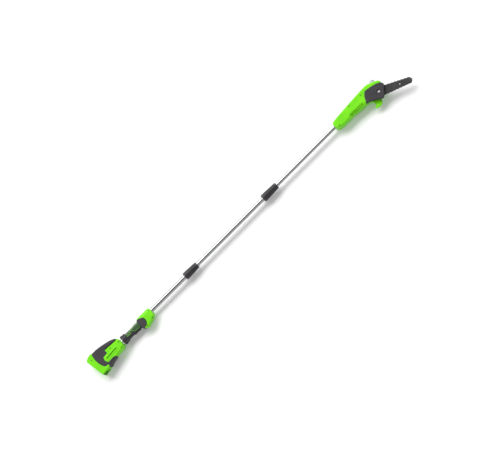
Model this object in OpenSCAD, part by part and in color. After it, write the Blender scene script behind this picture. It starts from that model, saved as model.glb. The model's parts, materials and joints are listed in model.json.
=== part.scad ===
// Telescoping cordless pole saw, lying on its left side.
// +X runs along the pole to the saw, +Y is the tool's top side, +Z its right side.

/* [Pole] */
// Outer diameter of the lower tube, the widest of the three
tube_d = 28; // [23:0.5:30]
// Wall of each pole tube
tube_wall = 0.9; // [0.8:0.1:1]
// Radial clearance between one tube and the next
tube_fit = 0.1; // [0.05:0.05:0.15]
// Bare length of the lower tube between hand guard and collar
low_bare = 270; // [220:5:330]
// Bare length of the middle tube between the two collars
mid_bare = 528; // [420:4:640]
// Bare length of the upper tube between collar and saw head
top_bare = 466; // [380:2:560]
// Length of one tube that stays inside the next
tube_lap = 84; // [70:2:100]
// Width of the key groove along the lower tube
groove_w = 2; // [1.5:0.5:3]
// Depth of the key groove
groove_deep = 0.4; // [0.3:0.1:0.5]

/* [Twist collars] */
// Length of the lower collar with its ferrule
collar_len = 98; // [90:2:110]
// Length of the upper collar with its ferrule
top_collar_len = 110; // [100:2:120]
// Collar diameter at its wide end
collar_d = 46; // [44:1:52]
// How much narrower a collar is at its nose
collar_taper = 7.5; // [5:0.5:8]
// Length of the fixed ferrule's outside
ferrule_len = 18; // [14:1:22]

/* [Battery foot] */
// Half thickness of the foot
foot_half = 37; // [36.5:0.5:40]
// Tilt of the foot against the pole
foot_tilt = 10; // [8:1:12]
// Wall under the battery
foot_floor = 3.5; // [3:0.5:4]
// Battery height, across the foot
batt_h = 41.5; // [41:0.5:50]
// Battery half width
batt_half = 31.5; // [31:0.25:32]
// Battery length from its contacts to its button end
batt_len = 115; // [112:1:117]
// Clearance round the battery
batt_fit = 0.5; // [0.4:0.1:0.7]
// Wall of the battery case
batt_wall = 2; // [1.5:0.25:2.2]
// Diameter of one battery cell
cell_d = 18.4; // [18:0.1:18.6]
// Length of one battery cell
cell_len = 65; // [60:1:66]

/* [Handle] */
// Half thickness of the battery housing
house_half = 35; // [34.5:0.5:36]
// Wall of the moulded shells
shell_wall = 2.5; // [2:0.25:3]
// Gap along the line where two mouldings meet
seam = 0.3; // [0.2:0.05:0.4]
// Height of the grip across the hand
grip_h = 41; // [39:0.5:44]
// Width of the grip across the hand
grip_w = 39; // [38:0.5:42]
// Radius of the hollow through the grip
grip_bore = 16.5; // [15.5:0.5:17]
// Half thickness of the hand guard
guard_half = 26; // [25:0.5:30]
// Trigger width
trigger_w = 13; // [11:0.5:14]
// Width of the lock-off lever
lock_w = 11; // [9:0.5:11.5]
// Clearance each side of a lever
lever_fit = 0.7; // [0.5:0.1:1]
// Radius of the trigger's pivot pin
pin_r = 2; // [1.5:0.25:2.25]
// Running clearance of a pin or shaft, on the radius
run_fit = 0.05; // [0.03:0.01:0.08]

/* [Saw head] */
// Half thickness of the head on its right side
head_half = 33; // [32:0.5:35]
// Top of the plate that the guide bar sits above
plate_top = 15; // [14:0.5:15.5]
// Height of the cover's outside above the pole's axis
cover_top = 37; // [36:0.5:40]
// Tilt of the guide bar below the pole
bar_tilt = 24.5; // [20:0.5:28]
// Guide bar length from its stud to its nose
bar_reach = 195; // [165:1:235]
// Half height of the guide bar at its root
bar_root_r = 24; // [22:0.5:25]
// Radius of the bar's nose
bar_nose_r = 14; // [12:0.5:15]
// Thickness of the guide bar
bar_t = 4; // [3.5:0.25:4.5]
// Width of the groove round the guide bar
bar_groove = 1.5; // [1.3:0.1:1.6]
// Radius of the hole near the bar's nose
bar_hole_r = 3; // [2.5:0.25:3.5]
// Distance from the bar stud to the sprocket's axis
sprocket_back = 57; // [54:1:58]
// Radius of the bar stud
stud_r = 4; // [3.5:0.25:4.25]
// Width of the bar nut across its flats
nut_af = 13; // [12:0.5:14]
// Travel of the chain tensioner
tension_travel = 3; // [2:0.5:4]
// Diameter of the motor
motor_d = 42; // [38:1:43]
// Radius of the sprocket's shaft
shaft_r = 5; // [4:0.5:5.5]
// Diameter of the oil cap
cap_d = 34; // [30:1:36]
// Height of the oil cap
cap_h = 20; // [16:1:22]

/* [Gears and chain] */
// Gear module
gear_m = 1.25; // [1.05:0.05:1.25]
// Teeth on the motor's pinion
pinion_z = 15; // [14:1:16]
// Teeth on the gear it drives
gear_z = 39; // [36:1:39]
// Backlash taken off each tooth
backlash = 0.12; // [0.08:0.02:0.2]
// Teeth on the chain sprocket
sprocket_z = 6; // [6:1:7]
// Distance between the chain's rivets
chain_pitch = 9.525; // [8.25:0.005:9.53]

/* [Hidden] */

lime = [0.44, 0.86, 0.02];
charcoal = [0.25, 0.24, 0.27];
steel = [0.72, 0.72, 0.74];
dark_steel = [0.22, 0.22, 0.22];
copper = [0.72, 0.43, 0.2];
frosted = [0.85, 0.86, 0.86];
soft_green = [0.1, 0.22, 0.08];
eps = 0.01;
$fn = 48;

axis_h = foot_half;
full_turn = 360;
// a shell's edge is stepped in twice, which stands for its rounded rim
rim_in = 3;
rim_down = 4;

// stations along the pole
house_end = 192;
collar_x = house_end + 6;
collar_ring_len = 32;
grip_x = collar_x + collar_ring_len;
neck_x = grip_x + 112;
guard_x = grip_x + 107;
guard_len = 97;
guard_end = guard_x + guard_len;
tube_x = guard_x + 15;
collar1_x = guard_end + low_bare;
collar1_end = collar1_x + collar_len;
collar2_x = collar1_end + mid_bare;
collar2_end = collar2_x + top_collar_len;
head_x = collar2_end + top_bare;
head_plug = 59;

// tube radii, each smaller tube running in the last
low_r = tube_d / 2;
mid_r = low_r - tube_wall - tube_fit;
top_r = mid_r - tube_wall - tube_fit;
// the outer tube ends this far into its ferrule
seat_in = ferrule_len + 18;
nose_in = seat_in + 8;
mid_x = collar1_x + seat_in - tube_lap;
top_x = collar2_x + seat_in - tube_lap;
groove_start = guard_end + 49;
groove_turn = -28;

// the foot's own frame: x into the housing, y towards the top side
dock = [-22, -12];
dock_back = 57;
batt_low = foot_floor + batt_fit + 0.5;
// each row of cells lies against its own half of the case
cell_row = max(cell_d / 2 + 0.1, batt_h / 2 - batt_wall - cell_d / 2 - 0.25);
grip_y = -10.5;
spigot_r = grip_bore - 0.1;
spigot_bore = 13;
screw_r = 1.6;
screw_head_r = 3.2;
screw_head_h = 2.4;
screw_len = 44;
handle_screw_top = house_half - 5;
guard_screw_top = guard_half - 5;
guard_screw_len = 36;
head_screw_top = head_half - 4.5;
foot_screw_top = foot_half - 1;
foot_screw_len = foot_screw_top - batt_half - batt_fit - 0.4;
// this one bears on the tube and stops short of it
clamp_screw_len = guard_screw_top - low_r - 0.5;
boss_r = 4.2;
trigger_pivot = [grip_x + 92, -23];
lock_pivot = [grip_x + 104, 4];
trigger_len = 52;
lock_pin_r = 1.5;

// saw head, with its own origin on the pole's axis at the head's near end
stud = [315, -43];
bar_z = 20;
bar_dir = [cos(bar_tilt), -sin(bar_tilt)];
wheel = stud - sprocket_back * bar_dir;
gear_gap = gear_m * (gear_z + pinion_z) / 2;
mesh_turn = 165;
motor_at = wheel + gear_gap * [cos(mesh_turn), sin(mesh_turn)];
gear_z0 = 2;
gear_w = 6;
motor_z0 = -34;
motor_len = 33;
motor_shaft_r = 2.5;
rotor_r = motor_d / 2 - 8;
bearing_r = 10;
bearing_w = 5;
// the shaft's left bearing stands beside the motor
left_bearing_r = min(bearing_r, gear_gap - motor_d / 2 - 0.6);
small_bearing_r = 6.5;
chain_wheel_r = 15.5;
bar_belly = 10;
nose_at = bar_reach - bar_nose_r;
chain_h = 5.2;
chain_gap = 0.35;
strap_t = 1.1;
cutter_h = 7.6;
cutter_w = 6.6;
link_t = 1.1;
cap_at = [326, 23.5];
cap_dir_turn = -bar_tilt;
neck_r = 12.5;
neck_bore = 10;
tank_wall = 1.6;
tank_x = 294;
pump_at = [wheel.x + 12, 24];
tension_side = 15;
tension_z = 6;
tension_pin_r = 2.4;
tension_at = -14;
tension_screw_r = 2;
nut_seat = 27.5;
nut_h = 8;
nut_flange_r = 9;
nut_cup_r = 13;
cup_wall = 2;

dome_screw_at = [[121, 6], [180, -2], [171, -36]];
foot_screw_at = [-5, 31];
clamp_screw_at = [guard_x + 85, 8];
guard_screw_at = [[guard_x + 76, -37], [guard_x + 24, -49]];
head_screw_at = [[24, -19], [139, 20], [228, 18], [196, -30]];

// ---------------------------------------------------------------- shared shapes
module at_axis() {
    translate([0, 0, axis_h]) children();
}

module at_head() {
    translate([head_x, 0, axis_h]) children();
}

module prism(z0, z1) {
    translate([0, 0, z0]) linear_extrude(z1 - z0) children();
}

module right_half(left) {
    if (left) mirror([0, 0, 1]) children();
    else children();
}

module soft_corners(r) {
    offset(r = r, $fn = 24) offset(delta = -r) children();
}

module rimmed(h) {
    prism(0, h - rim_down) children();
    prism(h - rim_down - eps, h) offset(delta = -rim_in) children();
}

// the inside of a shell that is rimmed, with its wall kept all round
module hollow(h) {
    prism(-1, h - rim_down - shell_wall) offset(delta = -shell_wall) children();
    prism(-1, h - shell_wall) offset(delta = -shell_wall - rim_in) children();
}

module rod_x(x0, x1, r, y = 0, z = 0) {
    translate([x0, y, z]) rotate([0, 90, 0]) cylinder(h = x1 - x0, r = r);
}

module rod_z(z0, z1, r) {
    translate([0, 0, z0]) cylinder(h = z1 - z0, r = r);
}

module tube(x0, x1, r, wall) {
    difference() {
        rod_x(x0, x1, r);
        rod_x(x0 - 1, x1 + 1, r - wall);
    }
}

// a section drawn across the pole, swept along it
module along_x(x0, x1, y = 0) {
    translate([x0, y, 0]) rotate([90, 0, 90]) linear_extrude(x1 - x0) children();
}

module in_dock() {
    translate(dock) rotate(foot_tilt) children();
}

module in_bar() {
    translate(stud) rotate(-bar_tilt) children();
}

// a box given by its two corners
module block(low, high) {
    translate(low) cube(high - low);
}

module screw(top, len) {
    translate([0, 0, top - screw_head_h]) cylinder(h = screw_head_h, r = screw_head_r);
    rod_z(top - len, top - screw_head_h, screw_r);
}

module screw_hole(top) {
    rod_z(-1, top + 1, screw_r + 0.15);
    rod_z(top - screw_head_h - 0.02, top + 9, screw_head_r + 0.2);
}

// what the screw's end goes into, in the other half of a shell
module screw_pilot(deep) {
    rod_z(-1, deep + 1, screw_r + 0.15);
}

// wire spring standing along +Z, its turns made by a twisted section
module coil(h, r, wire, turns) {
    linear_extrude(height = h, twist = -turns * full_turn, slices = turns * 12)
        translate([r, 0]) circle(r = wire, $fn = 8);
}

// ---------------------------------------------------------------- battery foot and housing
module foot_outline() {
    in_dock() soft_corners(5) polygon([
        [0, -60], [4, -64], [62, -65], [68, -62], [52, -55], [42, -42], [37.5, -22], [36, 0],
        [39, 25], [46, 46], [54, 64], [44, 70], [26, 69], [8, 64], [0, 56]
    ]);
}

module house_outline() {
    soft_corners(8) polygon([
        [0, 50], [20, 61], [50, 60.5], [80, 57], [120, 49], [150, 41], [170, 32], [183, 20],
        [190, 8], [house_end, -8], [190, -26], [182, -37], [168, -44], [132, -45], [113, -50],
        [72, -59], [57, -66], [42, -66], [0, -40]
    ]);
}

module dome_outline() {
    polygon([
        [187, 21], [172, 15], [87, 20], [90, -2], [55, -5], [51, -22], [57, -41], [64, -44],
        [100, -42], [114, -46], [122, -70], [210, -70], [210, 30]
    ]);
}

module rib_outline() {
    translate([56, -24]) rotate(4.7) offset(r = 9, $fn = 24) translate([9, -7]) square([82, 14]);
}

module bay() {
    in_dock() block(
        [foot_floor, -80, -batt_half - batt_fit],
        [batt_low + batt_h + batt_fit, dock_back + batt_fit, batt_half + batt_fit]);
}

module house_bosses() {
    for (at = dome_screw_at) translate(at) rod_z(0, house_half - 1.5, boss_r);
}

module foot_half_shell(left) {
    right_half(left) difference() {
        rimmed(foot_half) foot_outline();
        bay();
        in_dock() block([11, dock_back, -17], [39, 66.2, 17]);
        in_dock() block([1.5, -80, -8], [foot_floor + 1, -50, 8]);
        if (!left) translate(foot_screw_at) screw_hole(foot_screw_top);
    }
}

module foot_right() {
    color(lime) at_axis() foot_half_shell(false);
}

module foot_left() {
    color(lime) at_axis() foot_half_shell(true);
}

module house_half_shell(left) {
    right_half(left) difference() {
        rimmed(house_half) difference() {
            house_outline();
            offset(delta = seam) foot_outline();
            offset(delta = seam) intersection() {
                union() {
                    dome_outline();
                    rib_outline();
                }
                offset(delta = 1) house_outline();
            }
        }
        hollow(house_half) house_outline();
        bay();
    }
}

module housing_right() {
    color(charcoal) at_axis() house_half_shell(false);
}

module housing_left() {
    color(charcoal) at_axis() house_half_shell(true);
}

module dome_half_shell(left) {
    right_half(left) difference() {
        union() {
            difference() {
                rimmed(house_half) intersection() {
                    house_outline();
                    dome_outline();
                }
                hollow(house_half) house_outline();
            }
            prism(house_half - shell_wall, foot_half) difference() {
                rib_outline();
                translate([56, -24]) rotate(4.7) for (i = [0:5]) translate([12 + 14 * i, -2])
                    square([9, 4]);
            }
            intersection() {
                house_bosses();
                prism(0, house_half) offset(delta = -1) house_outline();
            }
        }
        for (at = dome_screw_at) translate(at) {
            if (left) screw_pilot(screw_len - handle_screw_top);
            else screw_hole(handle_screw_top);
        }
        rod_x(170, house_end + 2, spigot_r + 0.1, grip_y);
    }
}

module dome_right() {
    color(lime) at_axis() dome_half_shell(false);
}

module dome_left() {
    color(lime) at_axis() dome_half_shell(true);
}

module handle_screws() {
    color(dark_steel) at_axis() {
        for (at = dome_screw_at) translate(at) screw(handle_screw_top, screw_len);
        translate(foot_screw_at) screw(foot_screw_top, foot_screw_len);
        for (at = guard_screw_at) translate(at) screw(guard_screw_top, guard_screw_len);
        translate(clamp_screw_at) screw(guard_screw_top, clamp_screw_len);
    }
}

module terminal_block() {
    color(dark_steel) at_axis() in_dock() {
        block([12, dock_back + batt_fit + 0.1, -16], [38, 66, 16]);
        for (z = [-11, 0, 11])
            block([18, dock_back - 8, z - 0.5], [30, dock_back + batt_fit + 0.2, z + 0.5]);
    }
}

module control_board() {
    color([0.05, 0.3, 0.12]) at_axis() difference() {
        union() {
            block([62, -38, -9.6], [112, 38, -8]);
            block([70, -28, -8], [84, -8, 4]);
            block([70, 4, -8], [92, 28, -3]);
            for (y = [-24, -8]) translate([98, y]) rod_z(-8, 6, 5);
        }
        translate([66, 34]) rod_z(-12, -5, 1.6);
        translate([108, 34]) rod_z(-12, -5, 1.6);
    }
}

// ---------------------------------------------------------------- battery pack
module batt_box(low, high) {
    block([low, dock_back - batt_len, -batt_half], [high, dock_back, batt_half]);
}

module batt_hollow() {
    block(
        [batt_low + batt_wall, dock_back - batt_len + batt_wall, -batt_half + batt_wall],
        [batt_low + batt_h - batt_wall, dock_back - batt_wall, batt_half - batt_wall]);
}

module batt_cuts() {
    batt_hollow();
    for (z = [-11, 0, 11]) block([17, dock_back - 9, z - 1.2], [31, dock_back + 1, z + 1.2]);
    block([11, dock_back - batt_len - 1, -8.7], [26, dock_back - batt_len + 4, 8.7]);
    block([batt_low - 1, dock_back - batt_len + 3, -7.7], [batt_low + 4, dock_back - batt_len + 10, 7.7]);
}

module battery_case_lower() {
    color(charcoal) at_axis() in_dock() difference() {
        batt_box(batt_low, batt_low + batt_h / 2);
        batt_cuts();
    }
}

module battery_case_upper() {
    color(lime) at_axis() in_dock() difference() {
        batt_box(batt_low + batt_h / 2, batt_low + batt_h);
        batt_cuts();
    }
}

module battery_cells() {
    color([0.1, 0.35, 0.6]) at_axis() in_dock()
        for (row = [-1, 1], z = [-1, 0, 1])
            translate([batt_low + batt_h / 2 + row * cell_row, 23, z * (cell_d + 0.3)])
                rotate([90, 0, 0]) cylinder(h = cell_len, d = cell_d);
}

module battery_latch() {
    color(lime) at_axis() in_dock() translate([0, dock_back - batt_len, 0]) {
        block([7, 2.5, -9.5], [27, 7.5, 9.5]);
        block([12, -4, -8], [21, 3, 8]);
        block([2.2, 4, -7], [8, 7.5, 7]);
    }
}

// ---------------------------------------------------------------- grip
module neck_spigot() {
    color(steel) at_axis() difference() {
        rod_x(house_end - 6, grip_x + 14, spigot_r, grip_y);
        rod_x(house_end - 7, grip_x + 15, spigot_bore, grip_y);
    }
}

module grip_collar() {
    color(charcoal) at_axis() difference() {
        union() {
            along_x(collar_x, collar_x + 14, grip_y + 1.5) collar_section(29.5);
            along_x(collar_x + 14, grip_x - 0.05, grip_y + 1.5) collar_section(27.5);
        }
        rod_x(collar_x - 1, grip_x + 1, spigot_r + 0.05, grip_y);
    }
}

module collar_section(r) {
    offset(r = 3, $fn = 24) offset(delta = -3) difference() {
        circle(r = r);
        for (i = [0:5]) rotate(30 + 60 * i) translate([r + 1, 0]) circle(r = 4.5);
    }
}

module grip_section(grow = 0) {
    offset(r = 15 + grow, $fn = 48) square([grip_h - 30, grip_w - 30], center = true);
}

module neck_outline() {
    translate([guard_x, 0]) soft_corners(5) polygon([
        [-4, 12], [1, 16], [15, 14], [33, 4], [41, -10], [39, -28], [31, -42], [11, -50],
        [-1, -46], [-4, -38]
    ]);
}

module guard_outline() {
    translate([guard_x, 0]) soft_corners(6) polygon([
        [0, 15], [4, 24.5], [90, 24.5], [guard_len, 4], [guard_len, -8], [90, -31], [80, -39],
        [22, -58], [10, -50], [2, -44]
    ]);
}

module grip_half_shell(left) {
    right_half(left) difference() {
        union() {
            intersection() {
                along_x(grip_x, neck_x + 2, grip_y) grip_section();
                block([grip_x, -60, 0], [neck_x + 2, 40, 40]);
            }
            rimmed(guard_half + 2) neck_outline();
        }
        rod_x(grip_x - 1, neck_x + 10, grip_bore, grip_y);
        hollow(guard_half + 2) neck_outline();
        rod_x(tube_x - 4, guard_end, low_r + 0.05);
        block(
            [trigger_pivot.x - trigger_len - 2, -60, -1],
            [trigger_pivot.x + 9, -18, trigger_w / 2 + lever_fit]);
        block([lock_pivot.x - 47, -2, -1], [lock_pivot.x + 7, 20, lock_w / 2 + lever_fit]);
        translate(trigger_pivot) rod_z(-1, 14, pin_r);
        translate(lock_pivot) rod_z(-1, 10, lock_pin_r);
    }
}

module grip_right() {
    color(charcoal) at_axis() grip_half_shell(false);
}

module grip_left() {
    color(charcoal) at_axis() grip_half_shell(true);
}

module grip_inlays() {
    color(soft_green) at_axis() for (left = [false, true]) right_half(left) intersection() {
        difference() {
            along_x(grip_x + 20, neck_x - 2, grip_y) grip_section(0.8);
            along_x(grip_x + 10, neck_x + 2, grip_y) grip_section(0.02);
        }
        translate([grip_x + 78, grip_y - 1]) rotate(4) prism(8, 30)
            offset(r = 9, $fn = 32) square([32, 4], center = true);
    }
}

module lever_pins() {
    color(steel) at_axis() {
        translate(trigger_pivot) rod_z(-14, 14, pin_r);
        translate(lock_pivot) rod_z(-10, 10, lock_pin_r);
    }
}

module trigger() {
    color(charcoal) at_axis() translate(trigger_pivot) difference() {
        prism(-trigger_w / 2, trigger_w / 2) soft_corners(1.5) polygon([
            [-trigger_len, 0], [-trigger_len, -9], [-46, -13], [-24, -11.5], [-6, -12.5],
            [3, -7], [5, 0], [2, 4.5], [-4, 4.5], [-24, 2]
        ]);
        rod_z(-20, 20, pin_r + run_fit);
    }
}

module lock_off() {
    color(frosted) at_axis() translate(lock_pivot) difference() {
        prism(-lock_w / 2, lock_w / 2) soft_corners(1) polygon([
            [-44, 4], [-44, 9], [-38, 13], [-14, 12], [0, 7], [4, 2], [2, -3.5], [-3, -3.5],
            [-8, 0], [-34, 1]
        ]);
        rod_z(-20, 20, lock_pin_r + run_fit);
    }
}

module trigger_switch() {
    color(dark_steel) at_axis() {
        block([grip_x + 32, -14, -8], [grip_x + 80, -2, 8]);
        block([grip_x + 30, -11, -3], [grip_x + 32.02, -5, 3]);
    }
}

module trigger_spring() {
    color(steel) at_axis() translate([trigger_pivot.x - 30, trigger_pivot.y + 2.1, 0])
        rotate([-90, 0, 0]) coil(6.7, 2.6, 0.5, 5);
}

module lock_off_spring() {
    color(steel) at_axis() translate([lock_pivot.x - 30, -1.9, 0])
        rotate([-90, 0, 0]) coil(6.6, 2.4, 0.4, 5);
}

// ---------------------------------------------------------------- hand guard
module guard_half_shell(left) {
    right_half(left) difference() {
        union() {
            difference() {
                rimmed(guard_half) guard_outline();
                hollow(guard_half) guard_outline();
            }
            intersection() {
                prism(0, guard_half - 1) guard_outline();
                union() {
                    block([guard_x + 58, -60, 0], [guard_x + 62, 30, guard_half - 1]);
                    block([guard_end - 10, -40, 0], [guard_end, 30, guard_half - 1]);
                    for (at = guard_screw_at) translate(at) rod_z(0, guard_half - 1, boss_r);
                    translate(clamp_screw_at) rod_z(0, guard_half - 1, boss_r);
                }
            }
        }
        rod_x(guard_x, guard_end + 10, low_r + 0.05);
        prism(-1, guard_half + 5) offset(delta = seam) neck_outline();
        if (!left) translate(clamp_screw_at) screw_hole(guard_screw_top);
        for (at = guard_screw_at) translate(at) {
            if (left) screw_pilot(guard_screw_len - guard_screw_top);
            else screw_hole(guard_screw_top);
        }
    }
}

module guard_right() {
    color(lime) at_axis() guard_half_shell(false);
}

module guard_left() {
    color(lime) at_axis() guard_half_shell(true);
}

// ---------------------------------------------------------------- pole and twist collars
module lower_tube() {
    color(steel) at_axis() difference() {
        tube(tube_x, collar1_x + seat_in, low_r, tube_wall);
        rotate([groove_turn, 0, 0]) block(
            [groove_start, -groove_w / 2, low_r - groove_deep],
            [collar1_x + 2, groove_w / 2, low_r + 2]);
    }
}

module middle_tube() {
    color(steel) at_axis() tube(mid_x, collar2_x + seat_in, mid_r, tube_wall);
}

module upper_tube() {
    color(steel) at_axis() tube(top_x, head_x + head_plug, top_r, tube_wall);
}

// the bush in a tube's tail, which runs in the wider tube
module tail_plug(x, r, bore) {
    difference() {
        union() {
            rod_x(x - 12, x, r + tube_fit * 0.3);
            rod_x(x, x + 16, r - tube_wall);
        }
        rod_x(x - 20, x + 30, bore);
    }
}

module middle_plug() {
    color(charcoal) at_axis() tail_plug(mid_x, mid_r, 8);
}

module upper_plug() {
    color(charcoal) at_axis() tail_plug(top_x, top_r, 8);
}

module ferrule(x, r) {
    color(charcoal) at_axis() difference() {
        union() {
            rod_x(x, x + ferrule_len, collar_d / 2);
            rod_x(x + ferrule_len, x + nose_in, r + 4.4);
            for (i = [1:4])
                rod_x(x + ferrule_len + 5 * i, x + ferrule_len + 5 * i + 2, r + 4.8);
        }
        rod_x(x - 1, x + seat_in, r);
        rod_x(x, x + nose_in + 1, r - tube_wall);
    }
}

module low_ferrule() {
    ferrule(collar1_x, low_r);
}

module high_ferrule() {
    ferrule(collar2_x, mid_r);
}

// r is the tube that slides, the collet's bore just clears it
module collet(x, x1, r) {
    color(frosted) at_axis() difference() {
        translate([x + nose_in + 0.3, 0, 0]) rotate([0, 90, 0])
            cylinder(h = x1 - x - nose_in - 8, r1 = r + 4.4, r2 = r + 2);
        rod_x(x, x1, r + 0.08);
        for (i = [0:3]) rotate([90 * i, 0, 0])
            block([x + nose_in + 8, 0, -0.8], [x1, r + 9, 0.8]);
    }
}

module low_collet() {
    collet(collar1_x, collar1_end, mid_r);
}

module high_collet() {
    collet(collar2_x, collar2_end, top_r);
}

module sleeve(x, x1, r, tube_r) {
    nose_r = (collar_d - collar_taper) / 2;
    color(charcoal) at_axis() difference() {
        translate([x + ferrule_len + 0.3, 0, 0]) rotate([0, 90, 0])
            cylinder(h = x1 - x - ferrule_len - 0.3, r1 = collar_d / 2 - 0.3, r2 = nose_r);
        rod_x(x, x + nose_in + 0.3, r + 5.1);
        translate([x + nose_in + 0.2, 0, 0]) rotate([0, 90, 0])
            cylinder(h = x1 - x - nose_in - 7, r1 = r + 5.1, r2 = tube_r + 2.4);
        rod_x(x, x1 + 1, tube_r + 0.4);
        for (i = [0:23]) rotate([15 * i, 0, 0])
            block([x + ferrule_len + 8, -0.8, collar_d / 2 - 0.9], [x1 - 30, 0.8, collar_d / 2 + 2]);
    }
}

module low_sleeve() {
    sleeve(collar1_x, collar1_end, low_r, mid_r);
}

module high_sleeve() {
    sleeve(collar2_x, collar2_end, mid_r, top_r);
}

// the lead's outer shape where it is coiled, with a clear core that its straight run enters
module coiled_lead() {
    color(dark_steel) at_axis() tube(tube_x + 4, top_x - 40, 5.5, 2.1);
}

module head_lead() {
    color(dark_steel) at_axis() rod_x(top_x - 60, head_x + head_plug - 2, 2.2);
}

// ---------------------------------------------------------------- saw head housing
module head_outline() {
    soft_corners(5) polygon([
        [0, 16], [10, 22], [54, 27], [155, 34], [224, 38], [280, 40], [298, 38], [356, 11.5],
        [364, 0], [362, -20], [322, -62], [300, -70], [266, -52], [241, -42], [218, -37],
        [198, -39], [157, -35], [124, -31], [44, -33], [16, -27], [0, -15]
    ]);
}

module cover_outline() {
    soft_corners(5) polygon([
        [216, -41], [228, -21], [238, -2.8], [260.6, 18], [302, 11], [334, 2], [354, -7], [365, -20],
        [366, -32], [327, -77], [312, -85], [298, -84], [265, -60], [241, -47]
    ]);
}

module vents(z0) {
    for (i = [0:6]) translate([112 + 14 * i, -23 - i * 0.4, z0]) cube([9, 5, 8]);
}

module cap_hole(r) {
    translate(cap_at) rotate([0, 0, cap_dir_turn]) rotate([-90, 0, 0])
        translate([0, 0, -14]) cylinder(h = 60, r = r);
}

module tube_seat(h) {
    intersection() {
        prism(0, h) head_outline();
        union() {
            block([0, -40, 0], [8, 40, h]);
            block([26, -40, 0], [32, 40, h]);
            block([head_plug - 7, -40, 0], [head_plug + 2, 40, h]);
        }
    }
}

module head_bosses(h) {
    for (at = head_screw_at) translate(at) rod_z(0, h, boss_r);
}

module head_right() {
    color(lime) at_head() difference() {
        union() {
            difference() {
                rimmed(head_half) head_outline();
                prism(plate_top, head_half + 1) offset(delta = 0.4) cover_outline();
                difference() {
                    hollow(head_half) head_outline();
                    prism(plate_top - 5.5, head_half) offset(delta = shell_wall) cover_outline();
                }
            }
            tube_seat(head_half - 2);
            intersection() {
                head_bosses(head_half - 2);
                prism(0, head_half - 2) head_outline();
            }
            in_bar() block([-34, -10, plate_top - 6], [24, 10, bar_z - bar_t / 2]);
            translate(stud) rod_z(0, bar_z - bar_t / 2, 9);
            intersection() {
                in_bar()
                    block([tension_at - 14, tension_side - 5, 1], [30, tension_side + 5, plate_top - 1]);
                prism(0, plate_top) offset(delta = -2) cover_outline();
            }
        }
        rod_x(-1, head_plug + 0.1, top_r);
        rod_x(head_plug - 2, head_plug + 8, top_r - 3);
        translate(wheel) rod_z(plate_top - bearing_w - 0.5, plate_top - 1, bearing_r);
        translate(wheel) rod_z(0, 40, shaft_r + 2);
        translate(wheel) rod_z(-1, gear_z0 + gear_w + 1, gear_m * gear_z / 2 + 2);
        translate(stud) rod_z(-1, 40, stud_r);
        in_bar() {
            block([tension_at - 9, tension_side - 5.2, -1], [tension_at + 7, tension_side + 5.2, 11]);
            block(
                [tension_at - tension_travel - 3.5, tension_side - 3.2, 0],
                [tension_at + 3.5, tension_side + 3.2, 30]);
            translate([tension_at - 20, tension_side, tension_z]) rotate([0, 90, 0])
                cylinder(h = 80, r = tension_screw_r + 0.3);
            translate([24, tension_side, tension_z]) rotate([0, 90, 0]) cylinder(h = 40, r = 4.3);
        }
        cap_hole(neck_r + 0.4);
        vents(head_half - 6);
        for (at = head_screw_at) translate(at) screw_hole(head_screw_top);
    }
}

module head_left() {
    color(lime) at_head() mirror([0, 0, 1]) difference() {
        union() {
            difference() {
                rimmed(foot_half) head_outline();
                hollow(foot_half) head_outline();
            }
            tube_seat(foot_half - 1);
            intersection() {
                head_bosses(foot_half - 1);
                prism(0, foot_half - 1) head_outline();
            }
            translate(wheel) rod_z(7, foot_half - 1, left_bearing_r + 3);
            translate(stud) rod_z(0.5, foot_half - 1, 7);
            translate(pump_at) rod_z(14, foot_half - 1, 6);
        }
        translate(stud) rod_z(-1, 12, stud_r);
        rod_x(-1, head_plug + 0.1, top_r);
        rod_x(head_plug - 2, head_plug + 8, top_r - 3);
        translate(wheel) rod_z(-1, 7 + bearing_w, left_bearing_r);
        translate(wheel) rod_z(0, 18, shaft_r + 1);
        translate(motor_at) rod_z(-1, -motor_z0, motor_d / 2 + 0.1);
        cap_hole(neck_r + 0.4);
        vents(foot_half - 6);
        for (at = head_screw_at) translate(at) screw_pilot(screw_len - head_screw_top);
    }
}

module head_screws() {
    color(dark_steel) at_head()
        for (at = head_screw_at) translate(at) screw(head_screw_top, screw_len);
}

module branch_hook() {
    color(lime) at_head() difference() {
        prism(-9, 9) soft_corners(2) polygon([
            [300, -68], [295, -86], [283, -100], [268, -102], [241, -94], [237, -87], [252, -85],
            [257, -72], [252, -58], [252, -48], [266, -50]
        ]);
        prism(-20, 20) offset(delta = 0.02) head_outline();
    }
}

// ---------------------------------------------------------------- motor and gears
module motor_can() {
    color(steel) at_head() translate(motor_at) difference() {
        rod_z(motor_z0, motor_z0 + motor_len, motor_d / 2);
        rod_z(motor_z0 + 3, motor_z0 + motor_len - 3, motor_d / 2 - 7);
        rod_z(motor_z0 - 1, motor_z0 + motor_len + 1, motor_shaft_r + 1);
        rod_z(motor_z0 - 1, motor_z0 + 3.5, small_bearing_r);
        rod_z(motor_z0 + motor_len - 3.5, motor_z0 + motor_len + 1, small_bearing_r);
    }
}

module motor_rotor() {
    color(copper) at_head() translate(motor_at) {
        rod_z(motor_z0 + 4.5, motor_z0 + motor_len - 4.5, rotor_r);
        rod_z(motor_z0 + 0.5, gear_z0 + gear_w + 1, motor_shaft_r);
    }
}

function inv(base, r) = sqrt(pow(r / base, 2) - 1) * 180 / PI - acos(base / r);

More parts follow.
